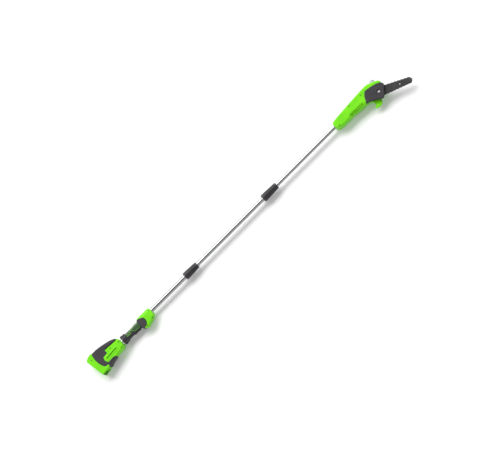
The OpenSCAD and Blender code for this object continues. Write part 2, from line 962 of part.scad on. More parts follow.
// involute teeth, stubbed so that the small pinion isn't undercut
module gear_teeth(z) {
    pressure = 25;
    pitch = gear_m * z / 2;
    base = pitch * cos(pressure);
    root = pitch - 1.05 * gear_m;
    tip = pitch + 0.8 * gear_m;
    half = 90 / z - backlash / pitch * 90 / PI + inv(base, pitch);
    low = max(base, root) + 0.001;
    flank = [for (i = [0:3]) low + (tip - low) * i / 3];
    polygon([
        for (k = [0:z - 1]) each concat(
            [for (r = concat([root], flank)) let (a = k * 360 / z - half + inv(base, max(r, low)))
                r * [cos(a), sin(a)]],
            [for (i = [3:-1:0]) let (r = flank[i], a = k * 360 / z + half - inv(base, r))
                r * [cos(a), sin(a)]],
            [let (a = k * 360 / z + half - inv(base, low)) root * [cos(a), sin(a)]])
    ]);
}

module drive_gear() {
    color(steel) at_head() translate(wheel) difference() {
        prism(gear_z0, gear_z0 + gear_w) rotate(mesh_turn + 180 / gear_z) gear_teeth(gear_z);
        rod_z(-20, 20, shaft_r);
        for (i = [0:5]) rotate(60 * i) translate([14, 0]) rod_z(-20, 20, 4);
    }
}

module motor_pinion() {
    color(steel) at_head() translate(motor_at) difference() {
        prism(gear_z0 - 0.5, gear_z0 + gear_w + 0.5) rotate(mesh_turn + 180) gear_teeth(pinion_z);
        rod_z(-20, 20, motor_shaft_r);
    }
}

module ring(z0, z1, r, bore) {
    difference() {
        rod_z(z0, z1, r);
        rod_z(z0 - 1, z1 + 1, bore);
    }
}

module bearings() {
    color(steel) at_head() {
        translate(wheel) {
            ring(plate_top - bearing_w - 0.5, plate_top - 1, bearing_r, shaft_r + run_fit);
            ring(-7 - bearing_w, -7, left_bearing_r, shaft_r + run_fit);
        }
        translate(motor_at) {
            ring(motor_z0, motor_z0 + 3.5, small_bearing_r, motor_shaft_r + run_fit);
            ring(motor_z0 + motor_len - 3.5, motor_z0 + motor_len, small_bearing_r,
                motor_shaft_r + run_fit);
        }
    }
}

module sprocket_shaft() {
    color(steel) at_head() translate(wheel) {
        rod_z(-7 - bearing_w, bar_z + 5, shaft_r);
    }
}

module sprocket() {
    color(steel) at_head() translate(wheel) difference() {
        union() {
            prism(bar_z - 0.6, bar_z + 0.6) union() {
                circle(r = chain_wheel_r - 6.3);
                for (i = [0:sprocket_z - 1]) rotate(i * 360 / sprocket_z)
                    translate([chain_wheel_r - 6.3, 0]) circle(r = 3);
            }
            rod_z(plate_top + 1.5, bar_z + 4, chain_wheel_r - 6.5);
        }
        rod_z(0, 40, shaft_r);
    }
}

// ---------------------------------------------------------------- guide bar and chain
module bar_outline() {
    hull() {
        translate([bar_belly, 0]) circle(r = bar_root_r, $fn = 64);
        translate([nose_at, 0]) circle(r = bar_nose_r, $fn = 64);
        translate([-24, 0]) square([2, 32], center = true);
    }
}

module guide_bar() {
    color(dark_steel) at_head() in_bar() difference() {
        prism(bar_z - bar_t / 2, bar_z + bar_t / 2) bar_outline();
        prism(bar_z - bar_groove / 2, bar_z + bar_groove / 2) difference() {
            offset(delta = 2) bar_outline();
            offset(delta = -4.5) bar_outline();
            translate([-50, -60]) square([30, 120]);
        }
        block([-stud_r - 11, -stud_r - 0.3, 0], [stud_r + tension_travel + 1, stud_r + 0.3, 40]);
        for (s = [-1, 1]) translate([tension_at, s * tension_side]) rod_z(0, 40, tension_pin_r + 0.05);
        translate([bar_reach - 70, 0]) rod_z(0, 40, bar_hole_r);
    }
}

// the chain's closed path: sprocket, bar belly and nose, as three circles on the bar's axis
chain_c = [-sprocket_back, bar_belly, nose_at];
chain_r = [chain_wheel_r, bar_root_r, bar_nose_r];
rise = [for (i = [0:1]) asin((chain_r[i + 1] - chain_r[i]) / (chain_c[i + 1] - chain_c[i]))];
run = [for (i = [0:1]) (chain_c[i + 1] - chain_c[i]) * cos(rise[i])];
arc_len = [
    chain_r[0] * (90 - rise[0]) * PI / 180, chain_r[1] * (rise[0] - rise[1]) * PI / 180,
    chain_r[2] * (90 + rise[1]) * PI / 180
];
half_loop = arc_len[0] + run[0] + arc_len[1] + run[1] + arc_len[2];
drive_links = floor(half_loop / chain_pitch);
link_step = 2 * half_loop / drive_links;

// [x, y, heading] on the upper half of the path, s from its sprocket end
function on_arc(i, turn) =
    [chain_c[i] + chain_r[i] * cos(turn), chain_r[i] * sin(turn), turn - 90];
function on_run(i, s) =
    let (a = on_arc(i, 90 + rise[i])) [a.x + s * cos(rise[i]), a.y + s * sin(rise[i]), rise[i]];
function upper(s) =
    s < arc_len[0] ? on_arc(0, 180 - s / chain_r[0] * 180 / PI)
    : s < arc_len[0] + run[0] ? on_run(0, s - arc_len[0])
    : s < arc_len[0] + run[0] + arc_len[1]
        ? on_arc(1, 90 + rise[0] - (s - arc_len[0] - run[0]) / chain_r[1] * 180 / PI)
    : s < half_loop - arc_len[2] ? on_run(1, s - arc_len[0] - run[0] - arc_len[1])
    : on_arc(2, (half_loop - s) / chain_r[2] * 180 / PI);
function lower(s) = let (p = upper(2 * half_loop - s)) [p.x, -p.y, 180 - p[2]];
function on_chain(s) = s < half_loop ? upper(s) : lower(s);

module chain_path() {
    hull() {
        for (i = [0:2]) translate([chain_c[i], 0]) circle(r = chain_r[i], $fn = 64);
    }
}

module saw_chain() {
    color(dark_steel) at_head() in_bar() {
        prism(bar_z - link_t / 2 - strap_t, bar_z + link_t / 2 + strap_t) difference() {
            offset(delta = chain_h) chain_path();
            offset(delta = chain_gap) chain_path();
        }
        prism(bar_z - link_t / 2, bar_z + link_t / 2) difference() {
            offset(delta = chain_h - 1) chain_path();
            offset(delta = -2.6) chain_path();
        }
        for (i = [0:drive_links - 1]) {
            p = on_chain((i + 0.5) * link_step);
            side = i % 2 == 0 ? -1 : 1;
            translate([p.x, p.y, bar_z]) rotate(p[2])
                translate([0, 0, side * cutter_w / 4])
                    linear_extrude(cutter_w / 2, center = true)
                        polygon([[-4.5, 2], [-5, cutter_h - 1], [0, cutter_h], [0.8, 3], [4, 3],
                            [4.6, cutter_h - 1.4], [6, cutter_h - 2.4], [6, 2]]);
        }
    }
}

module bar_stud() {
    color(steel) at_head() translate(stud) rod_z(-12, nut_seat + nut_h + 0.8, stud_r);
}

module bar_nut() {
    color(steel) at_head() translate(stud) difference() {
        union() {
            rod_z(nut_seat + 0.3, nut_seat + 2, nut_flange_r);
            translate([0, 0, nut_seat + 0.3]) cylinder(h = nut_h - 0.3, r = nut_af / sqrt(3), $fn = 6);
        }
        rod_z(0, 60, stud_r + 0.08);
    }
}

module tension_block() {
    color(steel) at_head() in_bar() translate([tension_at, tension_side, 0]) difference() {
        union() {
            block([-5, -4.5, 1.5], [5, 4.5, 10.5]);
            rod_z(2, bar_z + 1.2, tension_pin_r);
        }
        translate([-20, 0, tension_z]) rotate([0, 90, 0]) cylinder(h = 40, r = tension_screw_r + 0.08);
    }
}

module tension_screw() {
    color(steel) at_head() in_bar() translate([0, tension_side, tension_z]) rotate([0, 90, 0])
        difference() {
            union() {
                rod_z(tension_at - 12, 24, tension_screw_r);
                rod_z(24, 27.5, 4);
            }
            block([-4.5, -0.5, 26], [4.5, 0.5, 30]);
        }
}

module sprocket_cover() {
    color(charcoal) at_head() difference() {
        union() {
            difference() {
                translate([0, 0, plate_top + seam]) rimmed(cover_top - plate_top - seam)
                    cover_outline();
                hollow(cover_top) cover_outline();
            }
            translate(stud) rod_z(bar_z + bar_t / 2 + 0.3, cover_top - 1, nut_cup_r + cup_wall);
        }
        translate(stud) rod_z(nut_seat, 60, nut_cup_r);
        translate(stud) rod_z(0, 60, stud_r + 0.4);
        // the slot that the bar and chain leave through
        in_bar() block([8, -35, 0], [80, 35, bar_z + cutter_w / 2 + 2]);
        // the lower edge is open for chips
        in_bar() block([-40, -48, 0], [10, -24, bar_z - 1]);
    }
}

// ---------------------------------------------------------------- chain oil
module tank_outline() {
    intersection() {
        offset(delta = -shell_wall - 0.6) head_outline();
        polygon([[tank_x, 60], [tank_x, -2], [372, -2], [372, 60]]);
    }
}

module oil_tank() {
    color(frosted) at_head() difference() {
        union() {
            prism(-30, plate_top - 6.2) tank_outline();
            translate(cap_at) rotate([0, 0, cap_dir_turn]) rotate([-90, 0, 0])
                translate([0, 0, -5]) cylinder(h = 14, r = neck_r);
        }
        prism(-30 + tank_wall, plate_top - 6.2 - tank_wall) offset(delta = -tank_wall) tank_outline();
        cap_hole(neck_bore);
    }
}

module oil_cap() {
    color(frosted) at_head() translate(cap_at) rotate([0, 0, cap_dir_turn]) rotate([-90, 0, 0])
        difference() {
            union() {
                rod_z(2, cap_h - 2, cap_d / 2);
                rod_z(cap_h - 2 - eps, cap_h, cap_d / 2 - 2);
            }
            rod_z(0, 11, neck_r + 0.4);
            for (i = [0:15]) rotate(i * 22.5) translate([cap_d / 2 + 0.6, 0]) rod_z(4, cap_h + 1, 1.4);
        }
}

module oil_pump() {
    color(frosted) at_head() translate(pump_at) {
        rod_z(-14, -6, 8);
        rod_z(-6 - eps, -2, 5);
        rod_x(7, tank_x - pump_at.x, 2, 0, -10);
    }
}

// ---------------------------------------------------------------- the whole saw
foot_right();
foot_left();
housing_right();
housing_left();
dome_right();
dome_left();
handle_screws();
terminal_block();
control_board();
neck_spigot();
grip_collar();
grip_right();
grip_left();
grip_inlays();
guard_right();
guard_left();
trigger_switch();
trigger();
trigger_spring();
lever_pins();
lock_off();
lock_off_spring();
lower_tube();
coiled_lead();
battery_case_lower();
battery_case_upper();
battery_cells();
battery_latch();
low_ferrule();
low_collet();
low_sleeve();
middle_tube();
middle_plug();
high_ferrule();
high_collet();
high_sleeve();
upper_tube();
upper_plug();
head_lead();
head_right();
head_left();
head_screws();
motor_can();
motor_rotor();
motor_pinion();
bearings();
drive_gear();
sprocket_shaft();
sprocket();
bar_stud();
bar_nut();
guide_bar();
saw_chain();
tension_block();
tension_screw();
sprocket_cover();
oil_tank();
oil_cap();
oil_pump();
branch_hook();
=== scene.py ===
import json
from math import asin, cos, floor, pi, radians, sin, sqrt

import bmesh
import bpy
from mathutils import Matrix, Vector


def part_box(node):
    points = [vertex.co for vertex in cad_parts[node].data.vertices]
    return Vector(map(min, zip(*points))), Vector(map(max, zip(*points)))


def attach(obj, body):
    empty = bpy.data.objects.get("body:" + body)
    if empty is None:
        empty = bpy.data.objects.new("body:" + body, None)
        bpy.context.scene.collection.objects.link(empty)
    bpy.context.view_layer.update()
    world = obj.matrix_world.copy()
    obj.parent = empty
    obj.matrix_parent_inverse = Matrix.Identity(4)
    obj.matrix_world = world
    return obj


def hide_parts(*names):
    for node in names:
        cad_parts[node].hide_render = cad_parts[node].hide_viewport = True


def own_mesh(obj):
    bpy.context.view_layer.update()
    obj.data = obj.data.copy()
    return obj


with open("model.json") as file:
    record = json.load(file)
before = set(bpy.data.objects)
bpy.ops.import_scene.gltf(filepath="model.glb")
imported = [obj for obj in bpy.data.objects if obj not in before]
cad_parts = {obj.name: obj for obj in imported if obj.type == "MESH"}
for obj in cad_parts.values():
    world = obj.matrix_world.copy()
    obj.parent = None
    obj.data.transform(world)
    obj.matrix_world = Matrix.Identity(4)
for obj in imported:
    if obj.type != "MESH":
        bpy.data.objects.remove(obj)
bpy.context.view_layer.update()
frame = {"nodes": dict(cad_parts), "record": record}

# ---------------------------------------------------------------- battery foot
# The foot is two lime nylon mouldings that meet along the tool's middle. One short screw
# holds it to the housing, and the battery goes in at its lower end.
MM = 0.001
AXIS_H = 37.0
FOOT_HALF = 37.0
WALL = 2.5
PART_GAP = 0.12
FOOT_PLACE = Matrix.Translation((-22, -12, 0)) @ Matrix.Rotation(radians(10), 4, "Z")
FOOT = [
    (0, -64), (56, -64.8), (67, -61), (62, -51), (50, -49), (41, -39), (37.5, -22), (36, 0),
    (39, 25), (46, 46), (54, 64), (44, 70), (26, 69), (8, 64), (0, 56),
]
BATTERY_ROOM = ((3.5, -80, -32), (46.5, 57.5, 32))
CATCH_ROOM = ((1.5, -80, -8), (5, -50, 8))
FOOT_SCREW, FOOT_SINK_R, SCREW_HOLE_R = (-5, 31), 3.4, 1.8
CORNER_STEPS, RIM_STEPS = 6, 7


def outline(corners, soft=0.0):
    """flat shape of (x, y) corners, each at least as round as soft or its own third number"""
    bm = bmesh.new()
    made = [bm.verts.new((c[0], c[1], 0)) for c in corners]
    bm.faces.new(made)
    for k, (corner, vert) in enumerate(zip(corners, made)):
        here = Vector(corner[:2])
        back, on = (Vector(corners[j][:2]) - here for j in (k - 1, (k + 1) % len(corners)))
        bend = back.angle(on)
        run = (corner[2] if len(corner) > 2 else soft) * sin(bend)
        run = min(run / (1 - max(cos(bend), 0)) ** 1.5, 0.49 * min(back.length, on.length))
        if run > 0.02:
            bmesh.ops.bevel(
                bm, geom=[vert], offset=run, offset_type="OFFSET", segments=CORNER_STEPS,
                profile=0.5, affect="VERTICES", clamp_overlap=False, material=-1)
    return bm


def slab(corners, low, high, rim=(0, 0), soft=0.0, inset=0.0, place=None):
    """closed form between two heights, its upper edge turned over by rim = (inward, down)"""
    bm = outline(corners, max(soft, rim[0]))
    if inset > 0:
        edge = bmesh.ops.inset_region(
            bm, faces=bm.faces[:], thickness=inset, use_boundary=True,
            use_even_offset=True)["faces"]
        bmesh.ops.delete(bm, geom=edge, context="FACES")
    elif inset < 0:
        bmesh.ops.inset_region(
            bm, faces=bm.faces[:], thickness=-inset, use_boundary=True, use_outset=True,
            use_even_offset=True)
        bmesh.ops.dissolve_limit(
            bm, angle_limit=radians(1), verts=bm.verts[:], edges=bm.edges[:])
    bmesh.ops.translate(bm, verts=bm.verts[:], vec=(0, 0, low))
    grown = bmesh.ops.extrude_face_region(bm, geom=bm.faces[:])["geom"]
    top = [g for g in grown if isinstance(g, bmesh.types.BMFace)]
    inward, down = rim
    bmesh.ops.translate(
        bm, verts=list({v for f in top for v in f.verts}), vec=(0, 0, high - down - low))
    for k in range(RIM_STEPS if inward > 0 else 0):
        a, b = pi / 2 * k / RIM_STEPS, pi / 2 * (k + 1) / RIM_STEPS
        bmesh.ops.inset_region(
            bm, faces=top, thickness=inward * (cos(a) - cos(b)), use_even_offset=True)
        bmesh.ops.translate(
            bm, verts=list({v for f in top for v in f.verts}),
            vec=(0, 0, down * (sin(b) - sin(a))))
    if place:
        bmesh.ops.transform(bm, matrix=place, verts=bm.verts[:])
    bmesh.ops.recalc_face_normals(bm, faces=bm.faces[:])
    return bm


def block(low, high, soft=0.0, place=None):
    """box between two corners, its edges softened"""
    bm = bmesh.new()
    size = Vector(high) - Vector(low)
    bmesh.ops.create_cube(bm, size=1.0)
    bmesh.ops.scale(bm, vec=size, verts=bm.verts[:])
    bmesh.ops.translate(bm, vec=(Vector(low) + Vector(high)) / 2, verts=bm.verts[:])
    if soft:
        bmesh.ops.bevel(
            bm, geom=bm.edges[:], offset=soft, offset_type="OFFSET", segments=3, profile=0.5,
            affect="EDGES", clamp_overlap=True, material=-1)
    if place:
        bmesh.ops.transform(bm, matrix=place, verts=bm.verts[:])
    return bm


def rod(at, low, high, radius, sides=32, end=None, place=None):
    """round bar standing along Z, tapering to end, or laid down by place"""
    bm = bmesh.new()
    bmesh.ops.create_cone(
        bm, cap_ends=True, segments=sides, radius1=radius, radius2=radius if end is None else end,
        depth=high - low)
    bmesh.ops.translate(bm, vec=(at[0], at[1], (low + high) / 2), verts=bm.verts[:])
    if place:
        bmesh.ops.transform(bm, matrix=place, verts=bm.verts[:])
    return bm


def cut(bm, tool, how="DIFFERENCE"):
    """bm with tool cut away, added, or kept to what both hold"""
    pair = []
    for form in (bm, tool):
        mesh = bpy.data.meshes.new("form")
        form.to_mesh(mesh)
        form.free()
        pair.append(bpy.data.objects.new("form", mesh))
        bpy.context.scene.collection.objects.link(pair[-1])
    trim = pair[0].modifiers.new("trim", "BOOLEAN")
    trim.object, trim.operation, trim.solver = pair[1], how, "EXACT"
    made = bmesh.new()
    made.from_object(pair[0], bpy.context.evaluated_depsgraph_get())
    for form in pair:
        mesh = form.data
        bpy.data.objects.remove(form)
        bpy.data.meshes.remove(mesh)
    return made


def shell(corners, half, rim, wall=WALL, soft=0.0, place=None, base=0.0, keep=None):
    """one half of a hollow moulding, open where it meets the other half; keep stays solid"""
    soft = max(soft, rim[0])
    outer = slab(corners, base + PART_GAP, half, rim, soft, place=place)
    inner_rim = (max(rim[0] - wall, 0), max(rim[1] - wall, 0))
    inner = slab(corners, base - 1, half - wall, inner_rim, soft, wall, place)
    if keep:
        inner = cut(inner, keep)
    return cut(outer, inner)


def flipped(bm):
    """the same form on the tool's left side"""
    bmesh.ops.scale(bm, vec=(1, 1, -1), verts=bm.verts[:])
    bmesh.ops.reverse_faces(bm, faces=bm.faces[:])
    return bm


finishes = {}


def new_finish(slot, **plain):
    """a shader with its plain values set, and the object's own coordinates to draw on"""
    made = bpy.data.materials.new(slot)
    made.use_nodes = True
    tree = made.node_tree
    shader = tree.nodes["Principled BSDF"]
    for name, value in plain.items():
        shader.inputs[name.replace("_", " ")].default_value = value
    finishes[slot] = made
    return tree, shader, tree.nodes.new("ShaderNodeTexCoord").outputs["Object"]


def speckle(tree, where, scale, detail=3.0, stretch=(1, 1, 1)):
    """a noise on the piece, stretched along an axis for drawn or brushed metal"""
    spread = tree.nodes.new("ShaderNodeMapping")
    spread.inputs["Scale"].default_value = stretch
    tree.links.new(where, spread.inputs["Vector"])
    noise = tree.nodes.new("ShaderNodeTexNoise")
    noise.inputs["Scale"].default_value = scale
    noise.inputs["Detail"].default_value = detail
    tree.links.new(spread.outputs["Vector"], noise.inputs["Vector"])
    return noise.outputs["Fac"]


def tint(tree, shader, fac, dark, light, low=0.35, high=0.65):
    """base colour that drifts between two near shades"""
    ramp = tree.nodes.new("ShaderNodeValToRGB")
    for stop, at, shade in zip(ramp.color_ramp.elements, (low, high), (dark, light)):
        stop.position, stop.color = at, (*shade, 1)
    tree.links.new(fac, ramp.inputs["Fac"])
    tree.links.new(ramp.outputs["Color"], shader.inputs["Base Color"])


def gloss(tree, shader, fac, low, high):
    """roughness that drifts between two values"""
    span = tree.nodes.new("ShaderNodeMapRange")
    span.inputs["To Min"].default_value = low
    span.inputs["To Max"].default_value = high
    tree.links.new(fac, span.inputs["Value"])
    tree.links.new(span.outputs["Result"], shader.inputs["Roughness"])


def relief(tree, shader, fac, depth, strength=1.0):
    """fine height over the surface, depth in metres"""
    bump = tree.nodes.new("ShaderNodeBump")
    bump.inputs["Distance"].default_value = depth
    bump.inputs["Strength"].default_value = strength
    tree.links.new(fac, bump.inputs["Height"])
    tree.links.new(bump.outputs["Normal"], shader.inputs["Normal"])


def moulded(slot, dark, light, rough, grain, depth, **plain):
    """spark-textured plastic: a slow drift of colour under a fine even grain"""
    tree, shader, where = new_finish(slot, **plain)
    drift = speckle(tree, where, 14.0, 4.0)
    fine = speckle(tree, where, grain, 2.0)
    tint(tree, shader, drift, dark, light)
    gloss(tree, shader, speckle(tree, where, 60.0, 3.0), *rough)
    relief(tree, shader, fine, depth)


def piece(name, bm, body, slot, nodes=(), crease=32, lift=AXIS_H):
    """the finished form in the frame, in metres, riding on its body"""
    bmesh.ops.remove_doubles(bm, verts=bm.verts[:], dist=0.004)
    place = Matrix.Scale(MM, 4) @ Matrix.Translation((0, 0, lift))
    bmesh.ops.transform(bm, matrix=place, verts=bm.verts[:])
    mesh = bpy.data.meshes.new(name)
    bm.to_mesh(mesh)
    bm.free()
    mesh.shade_smooth()
    mesh.set_sharp_from_angle(angle=radians(crease))
    mesh.materials.append(finishes[slot])
    made = bpy.data.objects.new(name, mesh)
    bpy.context.scene.collection.objects.link(made)
    even = made.modifiers.new("even", "WEIGHTED_NORMAL")
    even.keep_sharp = True
    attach(made, body)
    if nodes:
        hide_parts(*nodes)
    return made


def moulding(name, bm, left, body, slot):
    """one half of a split moulding, turned over for the tool's left side"""
    side = "left" if left else "right"
    piece(
        f"{name}_moulding_{side}", flipped(bm) if left else bm, body, slot, [f"{name}_{side}"])


moulded(
    "lime_plastic", (0.125, 0.56, 0.001), (0.16, 0.64, 0.0015), (0.36, 0.48), 2600.0, 0.00003,
    Specular_IOR_Level=0.22)

for left in (False, True):
    foot = shell(FOOT, FOOT_HALF, (4.5, 5), 3.2, place=FOOT_PLACE)
    foot = cut(foot, block(*BATTERY_ROOM, place=FOOT_PLACE))
    foot = cut(foot, block(*CATCH_ROOM, place=FOOT_PLACE))
    if not left:
        foot = cut(foot, rod(FOOT_SCREW, 33.4, 40, FOOT_SINK_R))
        foot = cut(foot, rod(FOOT_SCREW, 30, 40, SCREW_HOLE_R))
    moulding("foot", foot, left, "handle", "lime_plastic")

# ---------------------------------------------------------------- battery housing
# Charcoal nylon halves hold the electronics above the battery. Their edge follows the foot,
# and a deep slot under the top side parts them from the lime dome.
HOUSE_HALF = 35.0
HOUSE_RIM = (7.5, 8)
HOUSE = [
    (0, 50), (20, 61), (50, 60.5), (80, 57), (120, 49), (150, 41), (170, 32), (183, 20),
    (190, 8), (192, -8), (190, -26), (182, -37), (168, -44), (132, -45), (113, -50), (72, -59),
    (57, -66), (42, -66), (0, -40),
]
DOME = [
    (196, 24), (172, 15), (89, 20, 3), (89.5, -2, 3), (57, -5, 2), (51, -22, 6), (57, -41, 6),
    (64, -44, 4), (100, -42, 6), (114, -46.5, 3), (122, -80), (210, -80), (210, 26),
]
SLOT = [
    (92, 20.4, 1.2), (171, 15.6, 1), (178, 18, 1), (176, 23.5, 2), (168, 22, 3), (95, 25.6, 2),
]
SLOT_FLOOR = 26.0
SEAM = 0.3
BELOW, ABOVE = -5, 50

moulded(
    "charcoal_plastic", (0.02, 0.018, 0.022), (0.031, 0.028, 0.033), (0.42, 0.55), 2200.0,
    0.00005, Specular_IOR_Level=0.32)

for left in (False, True):
    liner = slab(SLOT, SLOT_FLOOR - WALL, ABOVE, inset=-1.0)
    house = shell(HOUSE, HOUSE_HALF, HOUSE_RIM, keep=liner)
    house = cut(house, slab(DOME, BELOW, ABOVE, soft=2, inset=-SEAM))
    house = cut(house, slab(FOOT, BELOW, ABOVE, soft=4.5, inset=-SEAM, place=FOOT_PLACE))
    house = cut(house, block(*BATTERY_ROOM, place=FOOT_PLACE))
    house = cut(house, slab(SLOT, SLOT_FLOOR, ABOVE))
    moulding("housing", house, left, "handle", "charcoal_plastic")

# ---------------------------------------------------------------- lime dome and rib
# The dome is a lime cover over the motor leads. A raised rib runs down it with a row of
# slanting louvres, and three deep screws pull the halves together.
RIB_PLACE = Matrix.Translation((56, -24, 0)) @ Matrix.Rotation(radians(4.7), 4, "Z")
RIB = [(-1, -14.5), (101, -12), (101, 12), (-1, 14.5)]
CHANNEL = [(8, -3.8, 3.6), (94, -2.6, 2.4), (94, 2.6, 2.4), (8, 3.8, 3.6)]
DOME_SCREWS = [(121, 6), (180, -2), (171, -36)]
LOUVRES, FIRST_LOUVRE, LOUVRE_PITCH = 7, 13, 11.2
LOUVRE_LONG, LOUVRE_LEAN, LOUVRE_HALF = 7.8, 2.0, 2.4
SCREW_SINK_R = 3.6
GRIP_Y = -10.5
LIE = Matrix.Rotation(pi / 2, 4, "Y")
SPIGOT_PLACE = Matrix.Translation((0, GRIP_Y, 0)) @ LIE

for left in (False, True):
    dome = shell(HOUSE, HOUSE_HALF, HOUSE_RIM, keep=slab(RIB, 28.5, 40, place=RIB_PLACE))
    dome = cut(dome, slab(DOME, BELOW, ABOVE, soft=2), "INTERSECT")
    dome = cut(dome, slab(RIB, 30, 37, (3.4, 3.4), 9, place=RIB_PLACE), "UNION")
    dome = cut(dome, slab(CHANNEL, 33.4, 40, place=RIB_PLACE))
    for k in range(LOUVRES):
        x = FIRST_LOUVRE + LOUVRE_PITCH * k
        louvre = [
            (x, -LOUVRE_HALF), (x + LOUVRE_LONG, -LOUVRE_HALF),
            (x + LOUVRE_LONG + LOUVRE_LEAN, LOUVRE_HALF), (x + LOUVRE_LEAN, LOUVRE_HALF)]
        dome = cut(dome, slab(louvre, 27, 40, place=RIB_PLACE))
    for at in DOME_SCREWS:
        dome = cut(dome, rod(at, 29.6, 40, SCREW_SINK_R))
        dome = cut(dome, rod(at, 0, 40, SCREW_HOLE_R))
    dome = cut(dome, rod((0, 0), 160, 200, 16.6, 48, place=SPIGOT_PLACE))
    moulding("dome", dome, left, "handle", "lime_plastic")

# ---------------------------------------------------------------- screws
# Pan-headed thread-forming screws with a cross recess, blackened, sunk in the mouldings
# of the handle, the guard and the saw head.
SCREW_HEAD_R, SCREW_FACE_R, SHANK_R = 3.1, 2.2, 1.55
CROSS_LONG, CROSS_WIDE, CROSS_DEEP = 2.1, 0.45, 1.4
GUARD_SCREWS = [((422, 8), 21, 6.5), ((413, -37), 21, 36), ((361, -49), 21, 36)]
HANDLE_SCREWS = [(at, 30, 44) for at in DOME_SCREWS] + [(FOOT_SCREW, 36, 3.6)] + GUARD_SCREWS


def screw(at, top, length):
    """one screw, its head at the top"""
    bm = rod(at, top - 2.4, top - 0.5, SCREW_HEAD_R, 24)
    bm = cut(bm, rod(at, top - 0.6, top, SCREW_HEAD_R, 24, SCREW_FACE_R), "UNION")
    bm = cut(bm, rod(at, top - length, top - 2.2, SHANK_R, 16), "UNION")
    for a, b in ((CROSS_LONG, CROSS_WIDE), (CROSS_WIDE, CROSS_LONG)):
        bm = cut(bm, block(
            (at[0] - a, at[1] - b, top - CROSS_DEEP), (at[0] + a, at[1] + b, top + 1)))
    return bm


def together(forms):
    """several forms in one mesh"""
    mesh = bpy.data.meshes.new("forms")
    made = bmesh.new()
    for bm in forms:
        bm.to_mesh(mesh)
        bm.free()
        made.from_mesh(mesh)
    bpy.data.meshes.remove(mesh)
    return made


tree, shader, where = new_finish("dark_steel", Metallic=0.85)
tint(tree, shader, speckle(tree, where, 30.0, 5.0), (0.034, 0.034, 0.035), (0.052, 0.051, 0.052))
gloss(tree, shader, speckle(tree, where, 90.0, 4.0, (0.4, 1, 1)), 0.38, 0.56)
relief(tree, shader, speckle(tree, where, 900.0, 2.0, (0.08, 1, 1)), 0.00003)

piece(
    "handle_screw_set", together([screw(*s) for s in HANDLE_SCREWS]), "handle", "dark_steel",
    ["handle_screws"])

# ---------------------------------------------------------------- battery pack
# The pack is a box of two mouldings, charcoal below and lime above, with three contact
# slots at its inner end and a sprung button at the end that shows in the foot's mouth.
PACK_END, PACK_BACK, PACK_HALF = -58.0, 57, 31.5
BUTTON_RIBS, BUTTON_RIB_PITCH = 4, 1.7
for name, low, high, slot in (
    ("battery_tray", 4.5, 25.1, "charcoal_plastic"), ("battery_lid", 25.4, 46, "lime_plastic")
):
    half = block((low, PACK_END, -PACK_HALF), (high, PACK_BACK, PACK_HALF), 2.2)
    half = cut(half, block((6.5, -56, -29.5), (44, 55, 29.5)))
    for z in (-11, 0, 11):
        half = cut(half, block((17, 48, z - 1.2), (31, 58, z + 1.2)))
    half = cut(half, block((11, PACK_END - 1, -8.7), (26, PACK_END + 4, 8.7)))
    half = cut(half, block((3.5, PACK_END + 3, -7.7), (8.5, PACK_END + 10, 7.7)))
    bmesh.ops.transform(half, matrix=FOOT_PLACE, verts=half.verts[:])
    node = "battery_case_lower" if low < 20 else "battery_case_upper"
    piece(name, half, "battery", slot, [node])

button = cut(
    block((7, -55.5, -9.5), (27, -50.5, 9.5), 0.8), block((12, -62, -8), (21, -54, 8), 1.6),
    "UNION")
button = cut(button, block((2.2, -54, -7), (8, -50.5, 7), 0.6), "UNION")
for k in range(BUTTON_RIBS):
    step = BUTTON_RIB_PITCH * k
    button = cut(button, block((13.6 + step, -63, -6), (14.3 + step, -61.5, 6)))
bmesh.ops.transform(button, matrix=FOOT_PLACE, verts=button.verts[:])
piece("battery_button", button, "latch", "lime_plastic", ["battery_latch"])

# ---------------------------------------------------------------- neck collar
# A lobed charcoal ring in two steps locks the handle halves together, and the plated
# spigot shows as a bright ring between it and the dome.
COLLAR_PLACE = Matrix.Translation((0, GRIP_Y + 1.5, 0)) @ LIE
COLLAR_BORE_R, LOBES = 18.6, 6


def ridged_ring(low, high, radius, lobes, bite, bore):
    """a round ring with scallops cut in its rim, standing along Z"""
    bm = rod((0, 0), low, high, radius, 96)
    rims = [e for e in bm.edges if abs(e.verts[0].co.z - e.verts[1].co.z) < 0.01]
    bmesh.ops.bevel(
        bm, geom=rims, offset=1.6, offset_type="OFFSET", segments=3, profile=0.5,
        affect="EDGES", material=-1)
    for k in range(lobes):
        a = 2 * pi * (k + 0.5) / lobes
        at = ((radius + 1.6) * cos(a), (radius + 1.6) * sin(a))
        bm = cut(bm, rod(at, low - 1, high + 1, bite, 24))
    return cut(bm, rod((0, 0), low - 2, high + 2, bore, 64))


ring = together([
    ridged_ring(198, 212, 29.4, LOBES, 5, COLLAR_BORE_R),
    ridged_ring(212.3, 229.9, 27.3, LOBES, 4.4, COLLAR_BORE_R)])
bmesh.ops.transform(ring, matrix=COLLAR_PLACE, verts=ring.verts[:])
piece("neck_ring", ring, "handle", "charcoal_plastic", ["grip_collar"])

